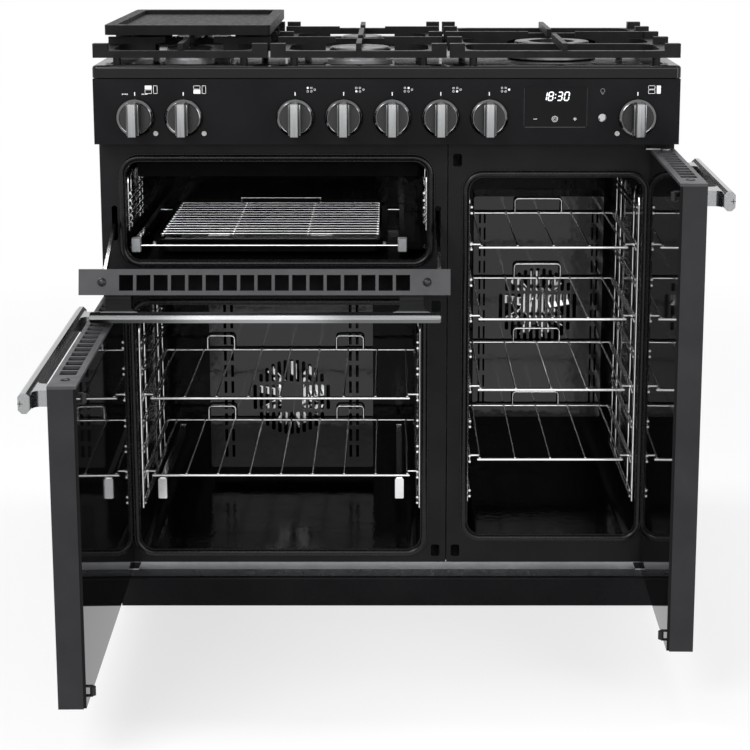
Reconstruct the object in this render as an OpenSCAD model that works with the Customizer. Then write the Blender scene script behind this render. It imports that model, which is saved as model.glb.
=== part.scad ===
// Free-standing range cooker: a gas hob with five burners over a grill compartment,
// a side-opening oven below it and a tall oven beside them.
// Millimetres. X runs to the right, Y to the back and Z up. The origin lies on the floor
// under the middle of the body. Every door is drawn open, as it rests.

/* [Body] */
// Width over the side panels
body_w = 900; // [880:1:960]
// Depth from the closed door fronts to the back panel
body_d = 600; // [590:1:640]
// Height of the lower edge of the front frames above the floor
base_h = 90; // [84:1:100]
// Setback of the front frames behind the closed door fronts
frame_setback = 45; // [43:0.5:50]
// Distance of the split between the two front frames from the middle
split_x = 96; // [92:1:100]
// Gap between the two front frames
split_gap = 1.5; // [1:0.1:3]
// Thickness of the sheet of frames, panels and cavities
sheet_t = 1.5; // [1:0.1:2]
// Depth of the flanges that stiffen the front frames
flange_d = 14; // [10:1:18]
// Height of the control panel
panel_h = 101; // [96:1:110]
// Height of the plinth board above the floor
plinth_h = 52; // [44:1:56]
// Setback of the plinth behind the front frames
plinth_setback = 31; // [24:1:40]
// Depth of the ledge on top of the plinth
plinth_ledge = 36; // [30:1:44]
// Gap under the plinth board
plinth_clear = 2; // [1:0.5:4]

/* [Oven openings] */
// Width of frame beside the grill opening, before its shift
grill_stile = 35.6; // [33:0.1:42]
// Height of the grill opening
grill_h = 157; // [150:1:170]
// Width of frame beside the left oven opening, before its shift
left_stile = 45.1; // [42:0.1:52]
// Height of the left oven opening
left_h = 408; // [400:1:430]
// Width of frame beside the tall oven opening, before its shift
tall_stile = 40.6; // [37:0.1:45]
// Height of frame below the left oven opening
left_sill = 23; // [22:1:30]
// Height of frame between the left oven and the grill openings
mid_rail = 73; // [70:1:80]
// Height of frame above the grill opening
top_rail = 33; // [30:1:40]
// Height of frame below the tall oven opening
tall_sill = 48; // [40:1:56]
// Height of frame above the tall oven opening
tall_head = 58; // [52:1:64]
// Shift of the left openings away from their hinge side
left_bias = 4; // [0:1:6]
// Shift of the tall opening away from its hinge side
tall_bias = 7; // [4:1:9]
// Corner radius of the openings
corner_r = 22; // [16:1:26]
// Depth of the ovens from the front frame to the back wall
oven_d = 398; // [392:1:410]
// Depth of the grill compartment
grill_d = 366; // [362:1:380]
// Depth of the fan chamber behind its cover
chamber_d = 38; // [36:1:42]
// Width of the door seals
seal_w = 12; // [9:0.5:13]
// Height by which the seals stand out of the frame
seal_h = 6.2; // [4:0.1:6.4]

/* [Doors] */
// Thickness of the doors
door_t = 38; // [36:0.5:38]
// Thickness of the inner door glass
glass_t = 4; // [3:0.5:6]
// Thickness of the slotted trim on the top edge of a door
trim_t = 4; // [3:0.5:6]
// Margin between a door and the side of the cooker
door_margin = 2; // [1:0.5:4]
// Gap between the free edges of the left and tall doors
door_split = 5; // [3:0.5:8]
// Gap between the left door and the grill door
door_gap = 10.5; // [10:0.5:14]
// Height by which the left door covers the frame above its opening
left_cover = 16.5; // [14:0.5:20]
// Gap between the upper doors and the control panel
door_head = 11; // [9:0.5:14]
// Setback of a side door's hinge pin behind its front
pin_setback = 16; // [14:0.5:18]
// Distance of a side door's hinge pin from the edge of the door
pin_inset = 16; // [14:0.5:18]
// Diameter of the door hinge pins
pin_d = 6; // [4:0.5:8]
// Radial running clearance round a hinge pin or a shaft
run_clear = 0.06; // [0.03:0.01:0.1]
// Angle at which the left door stands open
left_open = 89; // [80:1:92]
// Angle at which the tall door stands open
tall_open = 89; // [80:1:92]
// Angle at which the grill door stands open
grill_open = 78; // [74:1:80]
// Setback of the grill door's hinge line behind its front
grill_pin_setback = 15; // [14:0.5:16]
// Height of the grill door's hinge line above its lower edge
grill_pin_h = 12; // [11:0.5:13]
// Pitch of the vent slots in the door trims
vent_pitch = 25.2; // [22:0.2:30]
// Width of a vent slot
vent_w = 20.6; // [14:0.2:21]
// Length of a vent slot across the door
vent_l = 23; // [16:1:28]

/* [Handles] */
// Depth of a handle bar
bar_d = 16; // [12:1:16]
// Height of a handle bar
bar_h = 28; // [22:1:28]
// Finger gap between a door and its handle bar
finger_gap = 25; // [22:1:25]
// Distance of a handle bar below the top of its door
bar_drop = 13; // [12:1:18]
// Margin between the ends of a handle bar and the edges of its door
bar_margin = 15; // [12:1:40]
// Distance of a handle bracket from the end of the bar
bracket_inset = 24; // [18:1:40]
// Width of a handle bracket
bracket_w = 35; // [24:1:40]
// Height of a handle bracket
bracket_h = 22; // [16:1:22]

/* [Hob] */
// Gap between the control panel and the hob tray
hob_gap = 1.4; // [0.5:0.1:3]
// Height of the rim of the hob tray
rim_h = 19; // [16:1:22]
// Width of the rim of the hob tray
rim_w = 24; // [20:1:28]
// Radius of the edges of the rim
rim_r = 5; // [3:0.5:7]
// Overhang of the hob tray beyond each side panel
hob_over = 1; // [0:0.5:3]
// Depth of the hob tray below its rim
tray_drop = 11; // [9:0.5:13]
// Height of the tops of the pan supports above the rim
grate_h = 32.6; // [30:0.2:36]
// Width of the left pan support
grate_left_w = 267; // [258:1:268]
// Width of the right pan support
grate_right_w = 353; // [344:1:354]
// Gap between two pan supports
grate_gap = 5; // [3:0.5:8]
// Width of a cast bar of the pan supports
cast_w = 11; // [9:0.5:13]
// Height of a cast bar of the pan supports
cast_h = 10.5; // [8:0.5:12]
// Width of the square lugs of the pan supports
lug_w = 23; // [18:1:26]
// Distance from the first to the last row of lugs
grate_d = 474; // [460:1:476]
// Radius of the cap of a large burner
burner_large_r = 49; // [44:1:52]
// Radius of the cap of a small burner
burner_small_r = 36; // [30:1:40]
// Radius of the ring of the wok burner
burner_wok_r = 64; // [58:1:68]
// Height of the burner caps above the tray
burner_h = 28; // [24:1:29]
// Depth of the griddle plate
griddle_d = 396; // [380:1:400]
// Thickness of the griddle plate
griddle_t = 15.5; // [13:0.5:20]
// Width of the rim round the griddle plate
griddle_rim = 18; // [14:1:24]
// Height of the pads under the griddle plate
griddle_pad = 5; // [3:0.5:8]

/* [Controls] */
// Pitch of the control knobs
knob_pitch = 74.4; // [70:0.1:75]
// Distance of the first knob from the left end of the panel
knob_first = 64; // [60:1:70]
// Distance of the fourth gas knob from the middle of the panel
gas_first = 83; // [82:0.5:86]
// Distance of the tall oven's knob from the right end of the panel
knob_last = 65; // [60:1:70]
// Radius of the ring of a knob
knob_r = 29.6; // [26:0.1:31]
// Height of the ring of a knob
knob_ring_h = 9; // [6:0.5:12]
// Depth of a knob from the panel to the front of its grip
knob_d = 44; // [36:1:50]
// Width of the grip of a knob
grip_w = 13; // [10:0.5:16]
// Diameter of a knob's shaft
shaft_d = 8; // [6:0.5:9]
// Gap between a knob and the panel
knob_gap = 1; // [0.5:0.1:2]
// Height of the knob axes above the lower edge of the panel
knob_z = 41.5; // [38:0.5:46]
// Width of the clock's recess
clock_w = 98; // [90:1:104]
// Height of the clock's recess
clock_h = 64; // [56:1:68]
// Distance of the clock's middle from the middle of the panel
clock_x = 259.5; // [256:0.5:262]
// Depth of the clock's recess
clock_recess = 3; // [2:0.5:5]
// Diameter of the light button
button_d = 12; // [9:0.5:14]
// Travel of the light button
button_travel = 2.5; // [1.5:0.5:4]
// Diameter of an indicator lens
lens_d = 7.5; // [6:0.5:9]

/* [Shelves and racks] */
// Diameter of the front rail of a shelf
rail_d = 5; // [4.6:0.2:6]
// Diameter of the side wires of a shelf
side_d = 4.2; // [3.8:0.1:4.4]
// Diameter of the long wires of a shelf
wire_d = 3.2; // [2.6:0.1:3.6]
// Diameter of the wires of the side racks
rack_d = 3.8; // [3.2:0.1:4]
// Depth of a shelf from its front to its rear rail
shelf_d = 320; // [310:1:324]
// Setback of a shelf's front rail behind the front frame
shelf_setback = 30; // [26:1:32]
// Height of the loops at the back of a shelf
shelf_loop_h = 24; // [16:1:30]
// Gap between a shelf's side wire and each rung beside it
rung_gap = 0.8; // [0.5:0.1:1.2]
// Pitch of the shelf positions in the left oven
left_pitch = 43.5; // [40:0.5:46]
// Height of the lowest shelf position above the left oven's floor
left_first = 74; // [66:1:80]
// Pitch of the shelf positions in the tall oven
tall_pitch = 58.8; // [54:0.2:60]
// Height of the lowest shelf position above the tall oven's floor
tall_first = 60.5; // [54:0.5:66]
// Pitch of the rungs in the grill compartment
grill_pitch = 11.6; // [10.5:0.1:12]
// Width of the grill pan
pan_w = 376; // [360:1:384]
// Depth of the grill pan
pan_d = 326; // [310:1:328]
// Height of the grill pan
pan_h = 24; // [20:1:25]

/* [Fans] */
// Radius of the slotted disc in a fan cover
fan_cover_r = 70; // [64:1:74]
// Pitch of the slots in a fan cover
slot_pitch = 11; // [10:0.2:12]
// Width of a slot in a fan cover
slot_w = 6.6; // [5:0.2:7]
// Height of the middle row of slots
slot_row = 46; // [40:1:50]
// Bridge between two rows of slots
slot_bridge = 5; // [4:0.5:7]
// Radius of a fan
fan_r = 62; // [54:1:64]
// Number of blades on a fan
fan_blades = 9; // [7:1:12]

/* [Hidden] */

$fn = 48;
// Overlap of cutting bodies past the faces that they cut
cut = 1;
half_w = body_w / 2;
front_y = -body_d / 2;
back_y = body_d / 2;
frame_y = front_y + frame_setback;
front_h = left_sill + left_h + mid_rail + grill_h + top_rail;
frame_top = base_h + front_h;
panel_top = frame_top + panel_h;
hob_z = panel_top + hob_gap;
hob_top = hob_z + rim_h;
tray_z = hob_top - tray_drop;
inside_y = frame_y + sheet_t;

// Openings: middle and lower edge of each
left_col = [-half_w, split_x - split_gap / 2];
right_col = [split_x + split_gap / 2, half_w];
left_cx = (left_col[0] + left_col[1]) / 2 + left_bias;
tall_cx = (right_col[0] + right_col[1]) / 2 - tall_bias;
grill_w = left_col[1] - left_col[0] - 2 * grill_stile;
left_w = left_col[1] - left_col[0] - 2 * left_stile;
tall_w = right_col[1] - right_col[0] - 2 * tall_stile;
left_z = base_h + left_sill;
grill_z = left_z + left_h + mid_rail;
tall_z = base_h + tall_sill;
tall_h = front_h - tall_sill - tall_head;
// The cavities stand back from the edge of the openings by this much
cavity_clear = 2;
cover_y = frame_y + oven_d - chamber_d;
oven_back = frame_y + oven_d;
grill_back = frame_y + grill_d;

// Doors
left_door_x = [-half_w + door_margin, split_x - door_split / 2];
tall_door_x = [split_x + door_split / 2 - 0.5, half_w - door_margin];
left_door_h = left_sill + left_h + left_cover;
left_door_top = base_h + left_door_h;
grill_door_z = left_door_top + door_gap;
door_top = frame_top - door_head;
grill_door_h = door_top - grill_door_z;
tall_door_h = door_top - base_h;
left_pin = [left_door_x[0] + pin_inset, front_y + pin_setback];
tall_pin = [tall_door_x[1] - pin_inset, front_y + pin_setback];
grill_pin = [front_y + grill_pin_setback, grill_door_z + grill_pin_h];
bush_r = pin_d / 2 + 4;
bush_h = 14;

// Grill door arms: each is pinned in the door and runs through a slot in the frame
arm_t = 5;
arm_w = 11;
arm_pivot_h = 110;
arm_slot_h = 93;
arm_tail = 25;
arm_edge = 19;
arm_slot_w = 9;
arm_slot_l = 56;

// Door catches: rollers on the doors enter slots in the frames
catch_inset = 15;
catch_z = 20;
catch_r = 4;
catch_h = 12;
catch_stand = 11;

// Door hinge brackets
bracket_t = 2;
bracket_plate_t = 2;
bracket_gap = 0.5;

// Hob
grate_y0 = front_y + 15;
grate_rows = [0, 0.28, 0.516, 0.76, 1] * grate_d;
grate_top = hob_top + grate_h;
bar_z = hob_top + 11;
grate_left_x = -half_w;
grate_mid_x = grate_left_x + grate_left_w + grate_gap;
grate_right_x = half_w - grate_right_w;
grate_mid_w = grate_right_x - grate_gap - grate_mid_x;
left_burner_x = grate_left_x + grate_left_w / 2;
mid_burner_x = grate_mid_x + grate_mid_w / 2;
wok_x = grate_right_x + grate_right_w / 2;
row_front = grate_y0 + grate_rows[1];
row_mid = grate_y0 + grate_rows[2];
row_back = grate_y0 + grate_rows[3];
burners = [
    [left_burner_x, row_front, burner_small_r], [left_burner_x, row_back, burner_large_r],
    [mid_burner_x, row_front, burner_large_r], [mid_burner_x, row_back, burner_small_r],
    [wok_x, row_mid, burner_wok_r]
];

// Controls
axis_z = frame_top + knob_z;
gas_x = [for (i = [0:4]) gas_first + (i - 3) * knob_pitch];
knob_x = concat([-half_w + knob_first, -half_w + knob_first + knob_pitch], gas_x,
    [half_w - knob_last]);
lens_x = [knob_x[0] + 31, knob_x[1] + 31, knob_x[7] - 30.5];
lens_z = frame_top + 17;
button_x = (clock_x + clock_w / 2 + knob_x[7] - knob_r) / 2 - 1;
panel_back = frame_y;
valve_y = front_y + 14;
clock_depth = 32;
lens_depth = 18;

// Shelves
left_levels = [for (i = [0:6]) left_z + left_first + i * left_pitch];
tall_levels = [for (i = [0:8]) tall_z + tall_first + i * tall_pitch];
grill_first = 58;
grill_levels = [for (i = [0:4]) grill_z + grill_first + i * grill_pitch];
shelf_y = frame_y + shelf_setback;
rung_step = (side_d + rack_d) / 2 + rung_gap;
wall_gap = 0.6;
post_d = rack_d + 0.4;
rack_over = 16;
// Distances of the rungs and of a shelf's side wires from the cavity wall
rung_off = wall_gap + post_d + rack_d / 2 - 0.1;
side_off = wall_gap + post_d + side_d / 2 + 0.35;
rail_drop = 2.2;
runner_h = 16;
runner_t = 9;
cap_h = 34;
cap_w = 14;
cradle_x = left_cx - 13.5;
cradle_z = grill_z + 28;

// ---------- Shared shapes ----------

// Rectangle w by h with round corners of radius r, centred
module rounded(w, h, r) {
    square([w - 2 * r, h], center = true);
    square([w, h - 2 * r], center = true);
    for (x = [-1, 1], y = [-1, 1])
        translate([x * (w / 2 - r), y * (h / 2 - r)]) circle(r);
}

// Slot w wide and l high with round ends, centred
module slot(w, l) {
    square([w, l - w], center = true);
    for (y = [-1, 1]) translate([0, y * (l - w) / 2]) circle(w / 2);
}

// Upright slab from y0 to y1 of a 2D shape drawn in X and Z
module upright(y0, y1) {
    translate([0, y1, 0]) rotate([90, 0, 0]) linear_extrude(y1 - y0) children();
}

// Sweeps a profile round a rectangle w by d with corners of radius r.
// The profile's X points outwards from the path and its Y points up.
module sweep_round(w, d, r) {
    for (a = [0:3]) {
        across = a % 2 == 0 ? w : d;
        along = a % 2 == 0 ? d : w;
        rotate([0, 0, 90 * a]) {
            translate([across / 2 - r, along / 2 - r, 0])
                rotate_extrude(angle = 90) translate([r, 0]) children();
            translate([across / 2 - r, along / 2 - r, 0]) rotate([90, 0, 0])
                linear_extrude(along - 2 * r) translate([r, 0]) children();
        }
    }
}

module rod_x(x0, x1, y, z, d) {
    translate([x0, y, z]) rotate([0, 90, 0]) cylinder(h = x1 - x0, d = d);
}

module rod_y(x, y0, y1, z, d) {
    translate([x, y0, z]) rotate([-90, 0, 0]) cylinder(h = y1 - y0, d = d);
}

module rod_z(x, y, z0, z1, d) {
    translate([x, y, z0]) cylinder(h = z1 - z0, d = d);
}

// ---------- Body ----------

module side_panels() color("#16171a") for (s = [-1, 1]) {
    side_z = base_h - 2;
    fold = 12;
    panel_front = inside_y;
    panel_end = back_y - sheet_t;
    mirror([s < 0 ? 1 : 0, 0, 0]) {
        translate([half_w - sheet_t, panel_front, side_z])
            cube([sheet_t, panel_end - panel_front, hob_z - side_z]);
        translate([half_w - fold, panel_end - sheet_t, side_z])
            cube([fold, sheet_t, hob_z - side_z]);
        translate([half_w - fold, panel_front, frame_top + cut])
            cube([fold, sheet_t, hob_z - frame_top - cut]);
    }
}

module back_panel() color("#8d9094") difference() {
    vent_row_w = 120;
    vent_h = 5;
    translate([-half_w, back_y - sheet_t, base_h - 2])
        cube([body_w, sheet_t, hob_z - base_h + 2]);
    for (x = [left_cx, tall_cx], i = [0:7])
        translate([x, 0, tall_z + tall_h - 40 - i * 2.6 * vent_h])
            upright(back_y - 2 * sheet_t, back_y + cut)
                rotate([0, 0, 90]) slot(vent_h, vent_row_w);
    translate([half_w - inlet_inset, 0, axis_z])
        upright(back_y - 2 * sheet_t, back_y + cut) circle(inlet_r + 2);
}

chassis_y0 = frame_y + plinth_setback + plinth_ledge;
foot_x = half_w - 50;
foot_ys = [chassis_y0 + 40, back_y - 50];
pad_r = 20;
pad_h = 6;
stem_r = 6;

module chassis_base() color("#3a3d41") {
    chassis_z = plinth_h - 4;
    chassis_top = base_h - 2;
    wall = 2;
    chassis_hw = half_w - sheet_t;
    chassis_end = back_y - sheet_t;
    difference() {
        translate([-chassis_hw, chassis_y0, chassis_z])
            cube([2 * chassis_hw, chassis_end - chassis_y0, chassis_top - chassis_z]);
        translate([-chassis_hw + wall, chassis_y0 + wall, chassis_z - cut]) cube([
            2 * (chassis_hw - wall), chassis_end - chassis_y0 - 2 * wall,
            chassis_top - chassis_z - wall + cut
        ]);
    }
    translate([-chassis_hw, inside_y + flange_d, chassis_top - wall])
        cube([2 * chassis_hw, chassis_y0 - inside_y - flange_d + cut, wall]);
    for (x = [-foot_x, foot_x], y = foot_ys) {
        translate([x, y, chassis_z]) cylinder(h = chassis_top - chassis_z - 1, r = 14);
        translate([x, y, pad_h - cut]) cylinder(h = chassis_z - pad_h + 2 * cut, r = stem_r);
        translate([x, y, 0]) cylinder(h = pad_h, r = pad_r);
    }
}

module plinth() color("#131416") {
    board_t = 2;
    plinth_y = frame_y + plinth_setback;
    plinth_hw = half_w - 10;
    nose_r = 5;
    rotate([90, 0, 90]) translate([0, 0, -plinth_hw]) linear_extrude(2 * plinth_hw)
        translate([plinth_y, 0]) {
            translate([0, plinth_clear]) square([board_t, plinth_h - nose_r - plinth_clear]);
            translate([nose_r, plinth_h - board_t]) square([plinth_ledge - nose_r, board_t]);
            translate([nose_r, plinth_h - nose_r]) difference() {
                circle(nose_r);
                circle(nose_r - board_t);
                translate([0, -2 * nose_r]) square(4 * nose_r);
                translate([-2 * nose_r, -4 * nose_r]) square(4 * nose_r);
            }
        }
}

// Slots for a door's catches
module catch_slots(x, zs) {
    for (z = zs) translate([x, 0, z]) upright(frame_y - cut, inside_y + cut)
        rounded(2 * catch_r + 6, catch_h + 8, catch_r);
}

module frame_plate(col, top, bottom) {
    translate([col[0], frame_y, bottom]) cube([col[1] - col[0], sheet_t, top - bottom]);
    for (z = [bottom, top - sheet_t])
        translate([col[0] + 12.5, frame_y, z])
            cube([col[1] - col[0] - 12.5 * 2, flange_d, sheet_t]);
}

module opening_cut(cx, z, w, h) {
    translate([cx, 0, z + h / 2]) upright(frame_y - cut, inside_y + flange_d)
        rounded(w, h, corner_r);
}

arm_left_x = left_door_x[0] + arm_edge;
arm_right_x = left_door_x[1] - arm_edge + 6;

module front_frame_left() color("#1b1c1f") difference() {
    union() {
        frame_plate(left_col, frame_top, base_h);
        translate([left_col[1] - sheet_t, frame_y, base_h]) cube([sheet_t, flange_d, front_h]);
    }
    opening_cut(left_cx, left_z, left_w, left_h);
    opening_cut(left_cx, grill_z, grill_w, grill_h);
    for (x = [arm_left_x, arm_right_x])
        translate([x, 0, grill_pin[1] + arm_slot_h]) upright(frame_y - cut, inside_y + cut)
            slot(arm_slot_w, arm_slot_l);
    catch_slots(left_door_x[1] - catch_inset, [base_h + catch_z, left_door_top - catch_z]);
}

module front_frame_right() color("#1b1c1f") difference() {
    union() {
        frame_plate(right_col, frame_top, base_h);
        translate([right_col[0], frame_y, base_h]) cube([sheet_t, flange_d, front_h]);
    }
    opening_cut(tall_cx, tall_z, tall_w, tall_h);
    catch_slots(tall_door_x[0] + catch_inset - 2, [base_h + catch_z, door_top - catch_z]);
}

// Profile of a seal: a rounded bead on a flat foot
module seal_profile() {
    bead_r = seal_h - 1.4;
    translate([-seal_w / 2, 0]) square([seal_w, 2]);
    intersection() {
        translate([0, seal_h - bead_r]) circle(bead_r);
        translate([-seal_w / 2, 0]) square(seal_w);
    }
}

module seal_ring(cx, z, w, h) {
    foot_w = w + seal_w;
    foot_h = h + seal_w;
    translate([cx, frame_y, z + h / 2]) rotate([90, 0, 0])
        sweep_round(foot_w, foot_h, corner_r + seal_w / 2) seal_profile();
}

module door_seals() color("#2c2d30") {
    seal_ring(left_cx, left_z, left_w, left_h);
    seal_ring(left_cx, grill_z, grill_w, grill_h);
    seal_ring(tall_cx, tall_z, tall_w, tall_h);
}

// ---------- Cavities ----------

module cavity(cx, z, w, h, back) {
    lip = 8;
    inner_w = w + 2 * cavity_clear;
    inner_h = h + 2 * cavity_clear;
    inner_r = corner_r + cavity_clear;
    translate([cx, 0, z + h / 2]) difference() {
        union() {
            upright(inside_y, back + sheet_t)
                rounded(inner_w + 2 * sheet_t, inner_h + 2 * sheet_t, inner_r + sheet_t);
            upright(inside_y, inside_y + sheet_t)
                rounded(inner_w + 2 * lip, inner_h + 2 * lip, inner_r + lip);
        }
        upright(inside_y - cut, back) rounded(inner_w, inner_h, inner_r);
    }
}

fan_left_z = left_z + left_h * 0.382;
fan_tall_z = tall_z + tall_h / 2 + 5;
dome_x = 148;
dome_r = 20;
dome_z = grill_z + 78;
inlet_r = 10.5;
inlet_inset = 60;

module grill_cavity() color("#101113") {
    cavity(left_cx, grill_z, grill_w, grill_h, grill_back);
    for (s = [-1, 1]) translate([cradle_x + s * dome_x, 0, dome_z])
        upright(grill_back - 3, grill_back + cut) circle(dome_r);
    // Ledges that carry the runners of the cradle
    wall_x = grill_w / 2 + cavity_clear - 1.8;
    ledge_y = cradle_y + 9;
    for (s = [-1, 1]) {
        inner_x = cradle_x + s * (cradle_reach - runner_w / 2);
        outer_x = left_cx + s * wall_x;
        translate([min(inner_x, outer_x), ledge_y, cradle_z - runner_depth - ledge_t - run_clear])
            cube([abs(outer_x - inner_x), grill_back - 3 - ledge_y, ledge_t]);
    }
}

module oven_cavity(cx, z, w, h, fan_z) {
    difference() {
        cavity(cx, z, w, h, oven_back);
        translate([cx, 0, fan_z]) upright(oven_back - cut, oven_back + 2 * sheet_t)
            circle(shaft_d / 2 + 3);
    }
}

module oven_cavity_left() color("#101113")
    oven_cavity(left_cx, left_z, left_w, left_h, fan_left_z);

module oven_cavity_tall() color("#101113")
    oven_cavity(tall_cx, tall_z, tall_w, tall_h, fan_tall_z);

// Vertical slots with round ends, cut to a disc, in three rows. The middle row is left
// whole from column -blank to column blank.
module fan_slots(blank) {
    columns = floor(fan_cover_r / slot_pitch);
    third = slot_row / 2 + slot_bridge;
    for (i = [-columns:columns]) {
        x = i * slot_pitch;
        reach = sqrt(fan_cover_r * fan_cover_r - x * x);
        middle = min(slot_row, 2 * reach);
        if (abs(i) > blank && middle > 2 * slot_w) translate([x, 0]) slot(slot_w, middle);
        outer = reach - third;
        if (outer > 1.5 * slot_w) for (s = [-1, 1])
            translate([x, s * (third + outer / 2)]) slot(slot_w, outer);
    }
}

// Raised panel over the fan, with a perforated channel on each side of it
module fan_cover(cx, fan_z, face_w, channel_w, edge_w, z0, z1, blank) {
    rise = chamber_d;
    mid_z = (z0 + z1) / 2;
    whole_w = face_w + 2 * channel_w + 2 * edge_w;
    hole_h = 22;
    holes = floor((z1 - z0 - 30) / (hole_h + 8));
    step = 9;
    translate([cx, 0, 0]) difference() {
        translate([0, 0, mid_z]) upright(cover_y, oven_back - 0.3)
            rounded(whole_w, z1 - z0, 4);
        translate([0, 0, mid_z]) upright(cover_y + sheet_t, oven_back + cut)
            rounded(whole_w - 2 * sheet_t, z1 - z0 - 2 * sheet_t, 2.5);
        for (s = [-1, 1]) {
            channel_x = s * (face_w + channel_w) / 2;
            translate([channel_x, 0, mid_z]) upright(cover_y - cut, cover_y + 0.7)
                square([channel_w, z1 - z0 + cut], center = true);
            for (i = [0:holes - 1], k = [-1, 1])
                translate([channel_x + k * channel_w / 5, 0,
                    mid_z + (i - (holes - 1) / 2) * (hole_h + 8)])
                    upright(cover_y - cut, cover_y + step)
                    square([channel_w / 6, hole_h], center = true);
        }
        translate([0, 0, fan_z]) upright(cover_y - cut, cover_y + step) fan_slots(blank);
    }
    for (s = [-1, 1]) translate([cx + s * (whole_w - edge_w) / 2, 0, z0 + 24])
        upright(cover_y - 1.6, cover_y + 0.2) circle(5);
}

module fan_covers() color("#1c1d20") {
    fan_cover(left_cx, fan_left_z, 194, 31, 19, left_z + 24, left_z + left_h - 24, 1);
    fan_cover(tall_cx + 2, fan_tall_z, 179, 21, 4.5, tall_z + 94, tall_z + tall_h - 90, -1);
}

// ---------- Grill compartment ----------

module grill_element() {
    plate_z = grill_z + grill_h + cavity_clear - 4.2;
    tube_d = 7;
    lip_h = 26;
    plate_w = grill_w - 30;
    plate_y0 = frame_y + 32;
    plate_y1 = grill_back - 30;
    tube_z = plate_z - 14;
    tubes = 8;
    step = (plate_w - 60) / (tubes - 1);
    color("#2a2b2e") {
        translate([left_cx - plate_w / 2, plate_y0, plate_z - 2])
            cube([plate_w, plate_y1 - plate_y0, 2 + 3]);
        translate([left_cx - plate_w / 2, plate_y0, plate_z - lip_h])
            cube([plate_w, 1.5, lip_h + 3]);
    }
    color("#55504c") for (i = [0:tubes - 1]) {
        x = left_cx + (i - (tubes - 1) / 2) * step;
        rod_y(x, plate_y0 + 30, plate_y1 - 20, tube_z, tube_d);
        translate([x - 2, plate_y0 + 60, tube_z]) cube([4, 3, 14]);
        translate([x - 2, plate_y1 - 60, tube_z]) cube([4, 3, 14]);
        link_y = i % 2 == 0 ? plate_y0 + 30 + tube_d / 2 : plate_y1 - 20 - tube_d / 2;
        if (i < tubes - 1) rod_x(x - tube_d / 2, x + step + tube_d / 2, link_y, tube_z, tube_d - 1);
    }
}

// ---------- Side racks ----------

// One rack: paired rungs at each level, hung on looped posts beside the wall
module rack(wall_x, side, levels, step, y0, y1, posts, over) {
    post_x = wall_x - side * (wall_gap + post_d / 2);
    rung_x = wall_x - side * rung_off;
    top = levels[len(levels) - 1];
    for (z = levels, k = step > 0 ? [-1, 1] : [0])
        rod_y(rung_x, y0, y1, z + k * step, rack_d);
    for (p = posts) {
        rod_z(post_x, p[0], levels[0] - 14, top + over, post_d);
        rod_z(post_x, p[1], levels[0] - 14, top + over, post_d);
        translate([post_x, (p[0] + p[1]) / 2, top + over]) rotate([90, 0, 90])
            rotate_extrude(angle = 180) translate([(p[1] - p[0]) / 2, 0]) circle(d = post_d);
    }
}

module oven_racks(cx, w, levels, over) for (side = [-1, 1])
    rack(cx + side * (w / 2 + cavity_clear), side, levels, rung_step, shelf_y - 4,
        cover_y - 30, [[shelf_y, shelf_y + 60], [cover_y - 100, cover_y - 40]], over);

module shelf_racks() color("#c8cacc") {
    oven_racks(left_cx, left_w, left_levels, rack_over);
    oven_racks(tall_cx, tall_w, tall_levels, rack_over - 12);
    for (side = [-1, 1])
        rack(left_cx + side * (grill_w / 2 + cavity_clear), side, grill_levels, 0,
            frame_y + 14, frame_y + 190, [[frame_y + 20, frame_y + 52],
            [frame_y + 150, frame_y + 182]], rack_over);
}

// ---------- Shelves ----------

// Welded wire shelf: thick front rail, long wires, side wires and loops at the back
module wire_shelf(cx, w, z, wires, loops, loop_w) {
    side_x = w / 2 + cavity_clear - side_off;
    rail_x = side_x - 12;
    rear_y = shelf_y + shelf_d;
    step = 2 * (rail_x - 4) / (wires - 1);
    hook_y = shelf_y + 16;
    translate([cx, 0, 0]) {
        rod_x(-rail_x, rail_x, shelf_y, z - rail_drop, rail_d);
        rod_x(1.2 - side_x, side_x - 1.2, rear_y, z - 1.8, rail_d - 0.8);
        for (i = [0:wires - 1])
            rod_y(-rail_x + 4 + i * step, shelf_y - 1, rear_y + 1, z, wire_d);
        for (s = [-1, 1]) {
            rod_y(s * side_x, hook_y - 1, rear_y + 1, z, side_d);
            translate([min(s * side_x, s * (rail_x - 4)), hook_y, z]) rotate([0, 90, 0])
                cylinder(h = side_x - rail_x + 4, d = side_d - 0.4);
        }
        for (l = loops) {
            for (s = [-1, 1])
                rod_z(l + s * loop_w / 2, rear_y - 0.6, z - 2, z + shelf_loop_h - 6, side_d - 0.6);
            rod_x(l - loop_w / 2 + 6, l + loop_w / 2 - 6, rear_y - 0.6, z + shelf_loop_h, side_d - 0.6);
            for (s = [-1, 1]) translate([l + s * (loop_w / 2 - 6), rear_y - 0.6, z + shelf_loop_h - 6])
                rotate([90, s > 0 ? 0 : -90, 0]) rotate_extrude(angle = 90) translate([6, 0])
                    circle(d = side_d - 0.6);
        }
    }
}

module tall_shelf(i) color("#d2d4d6")
    wire_shelf(tall_cx, tall_w, tall_levels[i], 5, [0], 82);

module left_shelf(i) color("#d2d4d6")
    wire_shelf(left_cx, left_w, left_levels[i], 9, [-125, 106], 48);

module tall_shelf_1() tall_shelf(7);
module tall_shelf_2() tall_shelf(5);
module tall_shelf_3() tall_shelf(3);
module tall_shelf_4() tall_shelf(1);
module left_shelf_1() left_shelf(4);
module left_shelf_2() left_shelf(1);

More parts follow.
